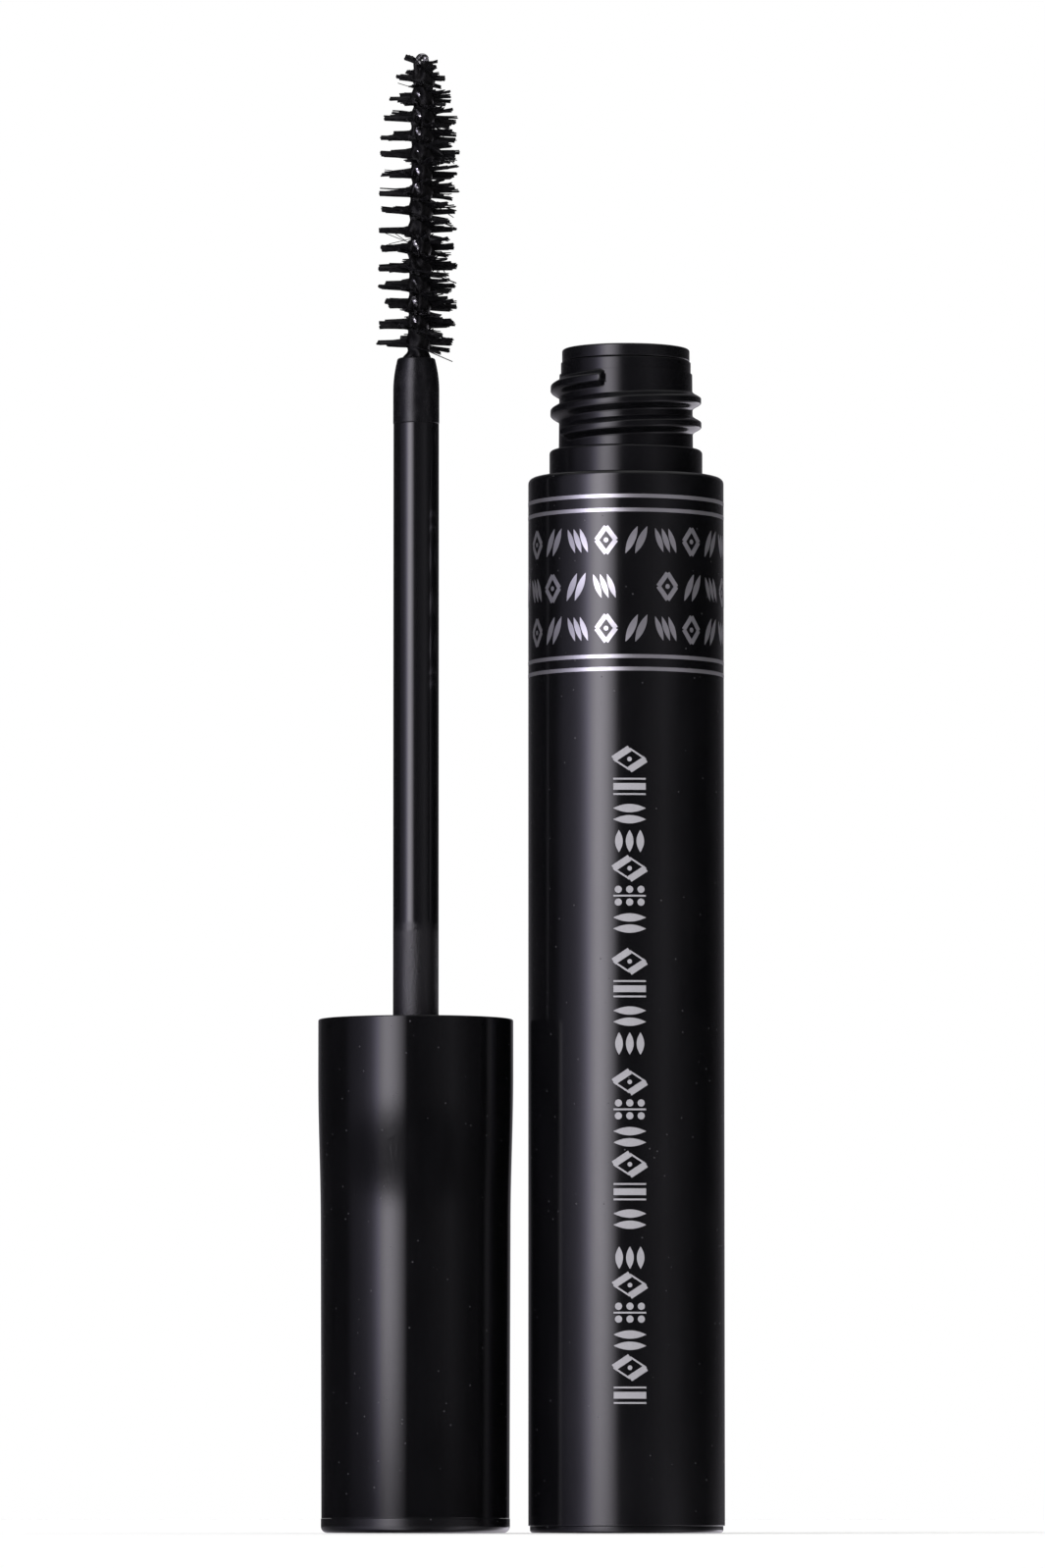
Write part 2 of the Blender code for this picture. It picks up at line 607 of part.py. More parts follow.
def brush_radius(height):
    """Radius of the brush: a short shoulder at the ferrule, a straight body and a round tip."""
    from_start = min((height - BRISTLE_START_Z) / BRISTLE_SHOULDER_LENGTH, 1.0)
    from_end = min((BRISTLE_END_Z - height) / BRISTLE_TIP_LENGTH, 1.0)
    shoulder = 0.8 + 0.2 * from_start
    tip = math.sqrt(max(1 - (1 - from_end) ** 2, 0.0))
    return shoulder * (BRISTLE_TIP_RADIUS + (BRISTLE_RADIUS - BRISTLE_TIP_RADIUS) * tip)


def build_bristles(material, collection):
    """Two fins of bristle that wind up the wire together, as one solid round a hole for the wire."""
    hole_radius = (WIRE_STRAND_OFFSET + WIRE_RADIUS + BRISTLE_GAP) / math.cos(math.pi / BRISTLE_HOLE_SIDES)
    hub_radius = hole_radius + BRISTLE_HUB_WALL
    slices = round((BRISTLE_END_Z - BRISTLE_START_Z) / WIRE_LEAD * BRISTLE_STEPS_PER_TURN)
    fin_degrees = [BRISTLE_FIN_HALF_DEG * share for share in (-1, -1 / 3, 1 / 3, 1)]
    solid = bmesh.new()
    outer_rings = []
    inner_rings = []
    for step in range(slices + 1):
        height = BRISTLE_START_Z + (BRISTLE_END_Z - BRISTLE_START_Z) * step / slices
        twist = fibre_angle(height)
        outer = []
        for half_turn in (0, 180):
            for degrees in fin_degrees:
                outer.append((brush_radius(height), math.radians(half_turn + degrees) + twist))
            outer.append((hub_radius, math.radians(half_turn + 90) + twist))
        sides = BRISTLE_HOLE_SIDES
        inner = [(hole_radius, 2 * math.pi * side / sides + twist) for side in range(sides)]
        for ring, rings in ((outer, outer_rings), (inner, inner_rings)):
            rings.append([solid.verts.new((r * math.cos(a), r * math.sin(a), height)) for r, a in ring])
    for rings in (outer_rings, inner_rings):
        for below, above in zip(rings, rings[1:]):
            for index in range(len(below)):
                after = (index + 1) % len(below)
                solid.faces.new((below[index], below[after], above[after], above[index]))
    for end in (0, -1):
        rims = []
        for ring in (outer_rings[end], inner_rings[end]):
            rims += [solid.edges.get((ring[index - 1], ring[index])) for index in range(len(ring))]
        bmesh.ops.triangle_fill(solid, edges=rims, use_beauty=True)
    bmesh.ops.recalc_face_normals(solid, faces=solid.faces)
    mesh = bpy.data.meshes.new("bristles")
    solid.to_mesh(mesh)
    solid.free()
    bristles = bpy.data.objects.new("bristles", mesh)
    bristles.location.x = APPLICATOR_X
    mesh.materials.append(material)
    collection.objects.link(bristles)
    return bristles


def ride_on(pivot_name, height, pieces, collection):
    """An empty on a joint's axis, with the pieces that move with it."""
    pivot = bpy.data.objects.new(pivot_name, None)
    pivot.location = (APPLICATOR_X, 0.0, height)
    pivot.empty_display_size = 5 * MM
    collection.objects.link(pivot)
    bpy.context.view_layer.update()
    for piece in pieces:
        piece.parent = pivot
        piece.matrix_parent_inverse = pivot.matrix_world.inverted()
    return pivot


def build():
    clear_scene()
    tube_parts = new_collection("mascara_tube")
    cutters = new_collection("cutters")
    gloss_black = new_material("gloss_black", (0.006, 0.006, 0.008), 0.22)
    plug_black = new_material("plug_black", (0.008, 0.008, 0.009), 0.30)
    neck_black = new_material("neck_black", (0.010, 0.010, 0.012), 0.30)
    wiper_black = new_material("wiper_black", (0.014, 0.014, 0.016), 0.38)
    paste_black = new_material("paste_black", (0.004, 0.004, 0.004), 0.15)
    inner_black = new_material("inner_black", (0.012, 0.012, 0.013), 0.40)
    gasket_white = new_material("gasket_white", (0.62, 0.62, 0.60), 0.60)
    stem_black = new_material("stem_black", (0.008, 0.008, 0.010), 0.25)
    ferrule_black = new_material("ferrule_black", (0.014, 0.014, 0.016), 0.42)
    wire_steel = new_material("wire_steel", (0.55, 0.55, 0.56), 0.25, 1.0)
    bristle_black = new_material("bristle_black", (0.010, 0.010, 0.011), 0.45)

    build_outer_sleeve(gloss_black, tube_parts)
    build_base_plug(plug_black, tube_parts)
    build_vial(neck_black, tube_parts, cutters)
    build_wiper(wiper_black, tube_parts)
    build_mascara_paste(paste_black, tube_parts)

    gasket = build_seal_gasket(gasket_white, tube_parts)
    applicator = [
        build_cap_shell(gloss_black, tube_parts),
        build_cap_end_plug(plug_black, tube_parts),
        build_inner_cap(inner_black, tube_parts, cutters),
        build_wand_stem(stem_black, tube_parts),
        build_brush_ferrule(ferrule_black, tube_parts),
        build_wire_core(wire_steel, tube_parts),
        build_bristles(bristle_black, tube_parts),
    ]
    lift = ride_on("applicator_lift", 0.0, [gasket], tube_parts)
    turn = ride_on("cap_turn", CEILING_Z, applicator, tube_parts)
    turn.parent = lift
    turn.matrix_parent_inverse = lift.matrix_world.inverted()


build()
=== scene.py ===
import math
import random

import bpy
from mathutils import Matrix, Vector


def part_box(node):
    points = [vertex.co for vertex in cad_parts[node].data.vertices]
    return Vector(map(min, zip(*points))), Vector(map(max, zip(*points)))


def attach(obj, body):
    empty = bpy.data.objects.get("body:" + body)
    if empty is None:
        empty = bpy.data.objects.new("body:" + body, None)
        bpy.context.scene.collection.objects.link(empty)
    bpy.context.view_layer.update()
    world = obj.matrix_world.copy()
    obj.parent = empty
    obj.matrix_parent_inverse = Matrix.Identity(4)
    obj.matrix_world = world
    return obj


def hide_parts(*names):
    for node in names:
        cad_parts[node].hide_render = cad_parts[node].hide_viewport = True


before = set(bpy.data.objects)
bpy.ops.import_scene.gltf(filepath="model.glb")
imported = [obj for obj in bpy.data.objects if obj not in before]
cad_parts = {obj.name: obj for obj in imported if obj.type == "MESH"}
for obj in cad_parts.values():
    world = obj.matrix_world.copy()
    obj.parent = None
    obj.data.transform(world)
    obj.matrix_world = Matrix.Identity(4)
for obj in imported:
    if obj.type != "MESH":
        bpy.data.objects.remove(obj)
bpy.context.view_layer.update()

# The looks of an open mascara tube and its applicator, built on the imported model's boxes.
# Metres, +Z up. The bottle's axis is Z, and the camera looks along +Y.

MM = 0.001

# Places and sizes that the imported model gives.
SLEEVE_LOW, SLEEVE_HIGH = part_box("outer_sleeve")
PLUG_LOW, PLUG_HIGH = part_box("base_plug")
VIAL_LOW, VIAL_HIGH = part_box("vial")
WIPER_LOW, WIPER_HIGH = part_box("wiper")
SHELL_LOW, SHELL_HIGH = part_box("cap_shell")
END_LOW, END_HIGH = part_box("cap_end_plug")
INNER_LOW, INNER_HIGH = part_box("inner_cap")
STEM_LOW, STEM_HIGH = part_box("wand_stem")
FERRULE_LOW, FERRULE_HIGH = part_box("brush_ferrule")
WIRE_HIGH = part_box("wire_core")[1]
BRISTLE_LOW, BRISTLE_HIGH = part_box("bristles")
GASKET_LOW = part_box("seal_gasket")[0]
CAP_X = (SHELL_LOW.x + SHELL_HIGH.x) / 2
SLEEVE_RADIUS = (SLEEVE_HIGH.x - SLEEVE_LOW.x) / 2
SHOULDER_Z = SLEEVE_HIGH.z
NECK_TOP_Z = VIAL_HIGH.z
MOUTH_Z = WIPER_HIGH.z
STEM_RADIUS = (STEM_HIGH.x - STEM_LOW.x) / 2

# Turned surfaces.
SEGMENTS = 192
NECK_SEGMENTS = 320
ROD_SEGMENTS = 64
FILLET_STEPS = 8
SHARP_ANGLE = math.radians(28)
SUPPORT = 0.05 * MM
SUPPORT_ANGLE = math.radians(1.5)

# Bottle.
SLEEVE_WALL = 1.10 * MM
SLEEVE_EDGE_FILLET = 0.05 * MM
SHOULDER_THICKNESS = 1.15 * MM
SHOULDER_FILLET = 0.50 * MM
COLLAR_RADIUS = 6.655 * MM
COLLAR_HOLE_RADIUS = 6.755 * MM
COLLAR_HEIGHT = 2.45 * MM
COLLAR_FILLET = 0.32 * MM
NECK_ROOT_RADIUS = 5.845 * MM
NECK_TOP_RADIUS = 5.785 * MM
NECK_SIDE_RADII = (5.7 * MM, 5.9 * MM)
NECK_LAND_RADIUS = 5.65 * MM
NECK_LAND_HEIGHT = 1.05 * MM
NECK_LAND_FILLET = 0.07 * MM
NECK_EDGE_FILLET = 0.09 * MM
NECK_BORE_RADIUS = 4.50 * MM
NECK_ROW_HEIGHT = 0.07 * MM
NECK_ROOT_FILLET = 0.15 * MM
VIAL_SHOULDER_DROP = 1.30 * MM
VIAL_BORE_RADIUS = 6.30 * MM
VIAL_FLOOR = 1.20 * MM
VIAL_FLOOR_FILLET = 1.20 * MM
VIAL_EDGE_FILLET = 0.60 * MM
VIAL_SLOPE_TOP = 0.85 * MM
VIAL_SLOPE_HEIGHT = 2.00 * MM
PLUG_GAP = 0.15 * MM
PLUG_EDGE_FILLET = 0.04 * MM
SPIGOT_FILLET = 0.30 * MM
BASE_EDGE_FILLET = 0.42 * MM
BASE_RECESS_RADIUS = 6.60 * MM
BASE_RECESS_DEPTH = 0.25 * MM
RECESS_SLOPE = 0.30 * MM
RECESS_FILLET = 0.10 * MM
GATE_OUTER_RADIUS = 0.90 * MM
GATE_INNER_RADIUS = 0.70 * MM
GATE_FILLET = 0.08 * MM
SEAM_GAP = 0.008 * MM

# Wiper.
WIPER_GAP = 0.10 * MM
WIPER_WALL = 0.60 * MM
WIPER_FLANGE_GAP = 0.06 * MM
WIPER_TUBE_LENGTH = 9.20 * MM
WIPER_LIP_LENGTH = 0.80 * MM
WIPER_LIP_RADIUS = 2.55 * MM
WIPER_LIP_BORE_RADIUS = 2.15 * MM
WIPER_MOUTH_FILLET = 0.30 * MM
WIPER_FLANGE_FILLET = 0.20 * MM
WIPER_LIP_FILLET = 0.10 * MM

# Screw threads: right-hand, twelve turns to the inch.
THREAD_PITCH = 25.4 * MM / 12
THREAD_HEIGHT = 0.755 * MM
THREAD_CREST_HALF = 0.19 * MM
THREAD_ROOT_HALF = 0.84 * MM
THREAD_END_HALF = 0.30 * MM
THREAD_TURNS = 2.12
THREAD_END_DEG = 251
THREAD_BELOW_TOP = 1.87 * MM
THREAD_END_ROUND = 0.42 * MM
CAP_THREAD_HEIGHT = 0.50 * MM
CAP_THREAD_TURNS = 1.75
CAP_THREAD_START_DEG = 90
CAP_THREAD_ABOVE_CEILING = 4.90 * MM

# Cap.
CAP_TAPER_HEIGHT = 26.5 * MM
CAP_FLARE_HEIGHT = 13.0 * MM
CAP_TAPER_GROWTH = 0.09 * MM
CAP_FLARE_GROWTH = 0.235 * MM
CAP_ROWS = 40
CAP_BORE_RADIUS = 7.45 * MM
CAP_RIM_FILLET = 0.15 * MM
CAP_BORE_FILLET = 0.12 * MM
CAP_SPIGOT_RADIUS = 7.30 * MM
CAP_END_FILLET = 0.80 * MM
CAP_RECESS_RADIUS = 5.90 * MM
INNER_BORE_RADIUS = 6.75 * MM
INNER_SIDE_RADII = (6.74 * MM, 6.76 * MM)
INNER_ROW_HEIGHT = 0.12 * MM
INNER_EDGE_FILLET = 0.10 * MM
INNER_FILLET = 0.30 * MM
CEILING_THICKNESS = 2.00 * MM
CEILING_FILLET = 0.20 * MM
GASKET_GAP = 0.10 * MM
SOCKET_GAP = 0.10 * MM
SOCKET_FLOOR = 1.60 * MM
BOSS_RADIUS = 3.20 * MM

# Stem and ferrule.
STEM_SEAM_DROP = 0.30 * MM
STEM_BORE_RADIUS = 1.25 * MM
STEM_BORE_DEPTH = 8.60 * MM
STEM_TOP_FILLET = 0.06 * MM
STEM_FOOT_FILLET = 0.25 * MM
CRUST_HEIGHT = 53.0 * MM
CRUST_BLEND = 0.4 * MM
CRUST_WAVE = 1.2 * MM
FERRULE_TENON_RADIUS = 1.15 * MM
FERRULE_BORE_RADIUS = 0.76 * MM
FERRULE_FLOOR = 0.80 * MM
FERRULE_TAPER_LENGTH = 2.90 * MM
FERRULE_TAPER_STEP = 0.30 * MM
FERRULE_TOP_STEP = 0.38 * MM
FERRULE_TOP_DROP = 0.35 * MM
FERRULE_TOP_FILLET = 0.32 * MM
FERRULE_EDGE_FILLET = 0.05 * MM
FERRULE_ROWS = 12

# Foil print on the sleeve.
FOIL_PROUD = 0.012 * MM
FOIL_SUNK = 0.010 * MM
RING_SECTIONS = 240
SHAPE_STEPS = 10
PRINT_STEP = 0.35 * MM
FINEST_WIDTH = 0.02 * MM
FOIL_RING_HEIGHTS = [89.20 * MM, 87.99 * MM, 75.32 * MM, 74.23 * MM]
FOIL_RING_WIDTH = 0.33 * MM
ROW_HEIGHTS = [85.38 * MM, 81.40 * MM, 77.74 * MM]
ROW_STROKE = 0.42 * MM
ROW_ELEMENTS = 9
ROW_GAP = 2.95 * MM
ROW_HALF_HEIGHT = 1.15 * MM
ROW_LOZENGE_HALF_WIDTH = 0.86 * MM
ROW_DOT_RADIUS = 0.21 * MM
ROW_GAP_CENTRE = 0.82 * MM
COLUMN_LOW_Z = 10.60 * MM
COLUMN_HIGH_Z = 67.60 * MM
COLUMN_CENTRE = 0.21 * MM
COLUMN_HALF_WIDTH = 1.40 * MM
COLUMN_GROUPS = [6, 6, 4, 7]
COLUMN_GAP = 0.40
COLUMN_ORDER = ["bars", "lozenge", "leaves", "dots", "lozenge", "petals", "leaves"]
THICK = 0.58 * MM
THIN = 0.15 * MM

# Brush.
WIRE_LEAD = 3.30 * MM
WIRE_RADIUS = 0.28 * MM
WIRE_OFFSET = 0.33 * MM
WIRE_STEPS_PER_TURN = 24
WIRE_SIDES = 12
WIRE_BEND_STEPS = 9
WIRE_IN_FERRULE = 2.50 * MM
FOLD_BELOW_TOP = 4.00 * MM
FOLD_LENGTH = 3.40 * MM
FOLD_TURN = math.radians(80)
TUFT_Z = 103.46 * MM
BRUSH_LEAN = 0.019
BRISTLE_RADIUS = 3.46 * MM
BRUSH_TAPER = 7.6 * MM
BRUSH_TIP_SHARE = 0.30
TIP_TUFT_LENGTH = 2.6 * MM
TIP_TUFT_RISE = 1.0 * MM
FIBRES_PER_TURN = 220
FIBRE_RADIUS = 0.060 * MM
FIBRE_START = 0.28 * MM
# Along a fibre: (share of its reach, share of its bow, thickness).
FIBRE_SHAPE = [(0.0, 0.0, 1.3), (0.30, 0.7, 1.15), (0.62, 1.0, 1.0), (1.0, 0.0, 0.9)]
STRAY_RADIUS = 0.032 * MM

# Dried mascara round the wire, bare along one side where the steel shows.
RESIDUE_RADIUS = 0.84 * MM
RESIDUE_WAVE = 0.26 * MM
RESIDUE_WOUND = 0.10 * MM
RESIDUE_RIGHT = 0.24 * MM
RESIDUE_ROOT = 0.20 * MM
RESIDUE_ROOT_HEIGHT = 0.42 * MM
RESIDUE_WAVES = 11
RESIDUE_ROWS = 320
RESIDUE_SIDES = 36
RESIDUE_BELOW_TIP = 0.75 * MM
RESIDUE_TIP_TAPER = 1.5 * MM
BARE_SIDE_DEG = 246
BARE_HALF_DEG = 25
BARE_DEPTH = 0.46 * MM
BARE_WAVE = 0.86 * MM

# Each loose fibre: (direction in degrees, height, reach, rise).
STRAY_FIBRES = [
    (184, 112.1 * MM, 2.9 * MM, 0.9 * MM),
    (176, 112.6 * MM, 2.6 * MM, -0.5 * MM),
    (189, 112.9 * MM, 3.0 * MM, 0.4 * MM),
    (170, 111.9 * MM, 2.3 * MM, 1.3 * MM),
    (181, 118.3 * MM, 3.1 * MM, 0.3 * MM),
    (186, 125.7 * MM, 2.1 * MM, 0.5 * MM),
]
SEED = 11

# Stage and camera.
FLOOR_RADIUS = 3.0
FLOOR_SIDES = 128
FLOOR_GAP = 0.05 * MM
CAMERA_LENS = 233.2
CAMERA_X = -9.0 * MM
CAMERA_Z = 1.5 * MM
CAMERA_DISTANCE = 880 * MM
CAMERA_AIM_Z = 64.88 * MM

# Studio light: (degrees to the right of the way back to the camera, brightness).
KEY_LIGHT = [
    (-180, 0.13), (-160, 0.13), (-146, 0.04), (-120, 0.01), (-93, 0.015), (-88, 0.07), (-84, 0.17),
    (-70, 0.36), (-62, 0.58), (-55, 1.05), (-50, 1.8), (-45, 3.3), (-40, 5.1), (-35, 6.4), (-30, 6.3),
    (-25, 5.3), (-20, 3.7), (-15, 2.0), (-12, 0.9), (-9.5, 0.08), (0, 0.03), (12, 0.05), (30, 0.15),
    (45, 0.24), (56, 0.14), (68, 0.05), (90, 0.0), (112, 0.005), (125, 0.03), (145, 0.08), (162, 0.14),
    (180, 0.13),
]
FLOOR_LIGHT = [
    (-180, 0.6), (-165, 0.25), (-125, 0.15), (-85, 0.3), (-58, 1.0), (-36, 3.4), (-22, 2.6), (-10, 0.6),
    (8, 0.2), (38, 0.3), (60, 1.1), (80, 0.5), (105, 0.2), (128, 0.9), (146, 2.3), (164, 1.1), (180, 0.6),
]
# Green and blue against red, with the stretch of degrees that is bluer.
PALE_TINT = (0.955, 1.06)
BLUE_TINT = (0.94, 1.22)
BLUE_SIDE = (-90, -42)


# ---------------- outlines and meshes

def smoothed(share):
    """The share from 0 to 1 as a smooth step."""
    return share * share * (3 - 2 * share)


def corner_arc(before, corner, after, fillet):
    """Points of the arc that rounds one corner of an outline."""
    b = Vector(before) - Vector(corner)
    a = Vector(after) - Vector(corner)
    half_angle = b.angle(a) / 2
    setback = min(fillet / math.tan(half_angle), 0.45 * b.length, 0.45 * a.length)
    b.normalize()
    a.normalize()
    centre = Vector(corner) + (b + a) * (setback / math.cos(half_angle) ** 2 / 2)
    first = Vector(corner) + b * setback - centre
    last = Vector(corner) + a * setback - centre
    start = math.atan2(first.y, first.x)
    sweep = (math.atan2(last.y, last.x) - start + math.pi) % (2 * math.pi) - math.pi
    angles = [start + sweep * step / FILLET_STEPS for step in range(FILLET_STEPS + 1)]
    radius = first.length
    return [(centre.x + radius * math.cos(t), centre.y + radius * math.sin(t)) for t in angles]


def rounded(corners):
    """An outline from (radius, height) corners. A third value rounds that corner by that radius."""
    points = []
    for index, corner in enumerate(corners):
        if len(corner) == 2:
            points.append(corner)
            continue
        before = corners[index - 1][:2]
        after = corners[(index + 1) % len(corners)][:2]
        points += corner_arc(before, corner[:2], after, corner[2])
    return points


def supported(outline):
    """The outline with a point just beside each bend on its long straight runs, which keeps them flat."""
    points = []
    count = len(outline)
    for index in range(count):
        here, there = Vector(outline[index]), Vector(outline[(index + 1) % count])
        points.append(outline[index])
        run = there - here
        if run.length < 5 * SUPPORT:
            continue
        before = here - Vector(outline[index - 1])
        after = Vector(outline[(index + 2) % count]) - there
        if before.length and before.angle(run) > SUPPORT_ANGLE:
            points.append(tuple(here + run.normalized() * SUPPORT))
        if after.length and after.angle(run) > SUPPORT_ANGLE:
            points.append(tuple(there - run.normalized() * SUPPORT))
    return points


def quads(here, there):
    """The faces between two rings of points."""
    after = [(k + 1) % len(here) for k in range(len(here))]
    return [(here[k], here[a], there[a], there[k]) for k, a in enumerate(after)]


def new_piece(name, points, faces, material, body):
    mesh = bpy.data.meshes.new(name)
    mesh.from_pydata([tuple(p) for p in points], [], faces)
    mesh.validate()
    mesh.materials.append(material)
    mesh.shade_smooth()
    mesh.set_sharp_from_angle(angle=SHARP_ANGLE)
    piece = bpy.data.objects.new(name, mesh)
    bpy.context.scene.collection.objects.link(piece)
    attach(piece, body)
    return piece


def lathe(name, corners, x, material, body, segments=SEGMENTS, swell=None):
    """A solid of revolution about the vertical line at x.

    The outline runs down its outer side. It is a ring, or it starts and ends on the axis.
    swell(angle, radius, height) gives what is added to the radius, for a thread.
    """
    outline = supported(rounded(corners))
    on_axis = corners[0][0] == 0
    if on_axis:
        outline = outline[:1] + [p for p in outline[1:-1] if p[0] > SUPPORT] + outline[-1:]
        while outline[-1][0] != 0:
            outline.pop()
    points = []
    rows = []
    for radius, height in outline:
        if radius == 0:
            rows.append([len(points)] * segments)
            points.append((x, 0.0, height))
            continue
        rows.append(list(range(len(points), len(points) + segments)))
        for k in range(segments):
            angle = 2 * math.pi * k / segments
            r = radius + (swell(angle, radius, height) if swell else 0.0)
            points.append((x + r * math.cos(angle), r * math.sin(angle), height))
    faces = []
    pairs = list(zip(rows, rows[1:]))
    if not on_axis:
        pairs.append((rows[-1], rows[0]))
    for upper, lower in pairs:
        for k in range(segments):
            after = (k + 1) % segments
            ring = [upper[k], lower[k], lower[after], upper[after]]
            face = [v for i, v in enumerate(ring) if v != ring[i - 1]]
            faces.append(face)
    return new_piece(name, points, faces, material, body)


def thread_swell(low_z, start_deg, turns, height, side_radii):
    """The ridge of a right-hand thread as a height over the wall that lies between two radii."""
    end_deg = start_deg + 360 * turns

    def swell(angle, radius, z):
        if not side_radii[0] <= radius <= side_radii[1]:
            return 0.0
        best = 0.0
        degrees = math.degrees(angle)
        turn = math.floor((start_deg - degrees) / 360)
        while degrees + 360 * turn <= end_deg:
            t = degrees + 360 * turn
            turn += 1
            if t < start_deg:
                continue
            from_end = radius * math.radians(min(t - start_deg, end_deg - t))
            share = min(from_end / THREAD_END_ROUND, 1.0)
            end_scale = math.sqrt(max(share * (2 - share), 0.0))
            away = abs(z - (low_z + THREAD_PITCH * (t - start_deg) / 360))
            crest = THREAD_CREST_HALF * end_scale
            root = THREAD_END_HALF + (THREAD_ROOT_HALF - THREAD_END_HALF) * end_scale
            if away >= root:
                continue
            flank = max(away - crest, 0) / (root - crest)
            shape = 0.5 + 0.5 * math.cos(math.pi * flank)
            best = max(best, shape * min(end_scale * 1.3, 1.0))
        return height * best

    return swell


# ---------------- materials

class Nodes:
    """A short way to write the node tree of a material or a world."""

    def __init__(self, owner):
        owner.use_nodes = True
        self.owner = owner
        self.tree = owner.node_tree

    def add(self, kind, inputs=None, **settings):
        """A new node. Each of its inputs is given a value, or the output that leads to it."""
        node = self.tree.nodes.new("ShaderNode" + kind)
        for key, value in settings.items():
            setattr(node, key, value)
        self.fill(node, inputs or {})
        return node

    def fill(self, node, inputs):
        for socket, value in inputs.items():
            if hasattr(value, "is_output"):
                self.tree.links.new(value, node.inputs[socket])
            else:
                node.inputs[socket].default_value = value

    def split(self, coordinates):
        """The three coordinates of an object's or a ray's place."""
        place = self.add("TexCoord").outputs[coordinates]
        return self.add("SeparateXYZ", {"Vector": place}).outputs

    def millimetres(self, stretch=(1, 1, 1)):
        """Object coordinates in millimetres."""
        place = self.add("TexCoord").outputs["Object"]
        mapping = self.add("Mapping", {"Vector": place, "Scale": [1000 * s for s in stretch]})
        return mapping.outputs["Vector"]

    def noise(self, scale, detail=3.0, stretch=(1, 1, 1), roughness=0.5):
        place = self.millimetres(stretch)
        inputs = {"Vector": place, "Scale": scale, "Detail": detail, "Roughness": roughness}
        return self.add("TexNoise", inputs).outputs["Fac"]

    def spots(self, scale, size):
        """Small round spots, far apart: 1 on a spot and 0 off it."""
        cells = self.add("TexVoronoi", {"Vector": self.millimetres(), "Scale": scale}, feature="F1")
        return self.ranged(cells.outputs["Distance"], size, size * 0.6, 0.0, 1.0)

    def ranged(self, source, low, high, to_low, to_high):
        """The source's stretch from low to high as a smooth step between two other values."""
        inputs = {"Value": source, "From Min": low, "From Max": high, "To Min": to_low, "To Max": to_high}
        return self.add("MapRange", inputs, interpolation_type="SMOOTHSTEP").outputs["Result"]

    def maths(self, operation, first, second):
        return self.add("Math", {0: first, 1: second}, operation=operation).outputs["Value"]

    def mixed(self, factor, first, second, blend="MIX"):
        colours = [c if hasattr(c, "is_output") else (*c, 1.0) for c in (first, second)]
        inputs = {"Factor": factor, 6: colours[0], 7: colours[1]}
        return self.add("Mix", inputs, data_type="RGBA", blend_type=blend).outputs[2]

    def bump(self, height, distance, strength, under=None):
        inputs = {"Height": height, "Distance": distance, "Strength": strength}
        if under:
            inputs["Normal"] = under
        return self.add("Bump", inputs).outputs["Normal"]

    def surface(self, **sockets):
        inputs = {socket.replace("_", " "): value for socket, value in sockets.items()}
        self.fill(self.tree.nodes["Principled BSDF"], inputs)
        return self.owner


def new_material(name):
    return Nodes(bpy.data.materials.new(name))


def moulded_black(name, colour, roughness, specular, dust=True):
    """Moulded black plastic: faint flow in the gloss, fine upright rubs, a few specks of dust."""
    n = new_material(name)
    flow = n.noise(0.35, 2.0, (1, 1, 0.35))
    rubs = n.noise(9.0, 3.0, (1, 1, 0.04), 0.65)
    grains = n.noise(22.0, 2.0)
    rub_mask = n.ranged(rubs, 0.60, 0.72, 0.0, 1.0)
    even_gloss = n.ranged(flow, 0.3, 0.7, roughness - 0.01, roughness + 0.015)
    gloss = n.maths("ADD", even_gloss, n.maths("MULTIPLY", rub_mask, 0.05))
    darker, lighter = [0.85 * c for c in colour], [1.2 * c for c in colour]
    tone = n.mixed(n.ranged(flow, 0.25, 0.75, 0.0, 1.0), darker, lighter)
    normal = n.bump(grains, 0.000002, 0.3)
    normal = n.bump(rubs, 0.000003, 0.12, normal)
    if dust:
        specks = n.spots(0.85, 0.075)
        tone = n.mixed(n.maths("MULTIPLY", specks, 0.35), tone, (0.10, 0.10, 0.105))
        gloss = n.maths("ADD", gloss, n.maths("MULTIPLY", specks, 0.3))
    return n.surface(Base_Color=tone, Roughness=gloss, Normal=normal, Specular_IOR_Level=specular)


def stem_black():
    """Glossy rod whose root is dulled by a thin skin of dried mascara."""
    n = new_material("stem_black")
    flow = n.noise(0.5, 2.0, (1, 1, 0.3))
    crust = n.noise(5.5, 4.0, roughness=0.7)
    edge_height = n.maths("ADD", n.split("Object")["Z"], n.maths("MULTIPLY", crust, CRUST_WAVE))
    crusted = n.ranged(edge_height, CRUST_HEIGHT + CRUST_BLEND, CRUST_HEIGHT - CRUST_BLEND, 0.0, 1.0)
    gloss = n.maths("ADD", n.ranged(flow, 0.3, 0.7, 0.125, 0.15), n.maths("MULTIPLY", crusted, 0.13))
    tone = n.mixed(crusted, (0.0045, 0.0045, 0.0052), (0.0075, 0.0072, 0.0082))
    height = n.maths("MULTIPLY", crust, crusted)
    normal = n.bump(height, 0.00009, 0.55)
    return n.surface(Base_Color=tone, Roughness=gloss, Normal=normal)


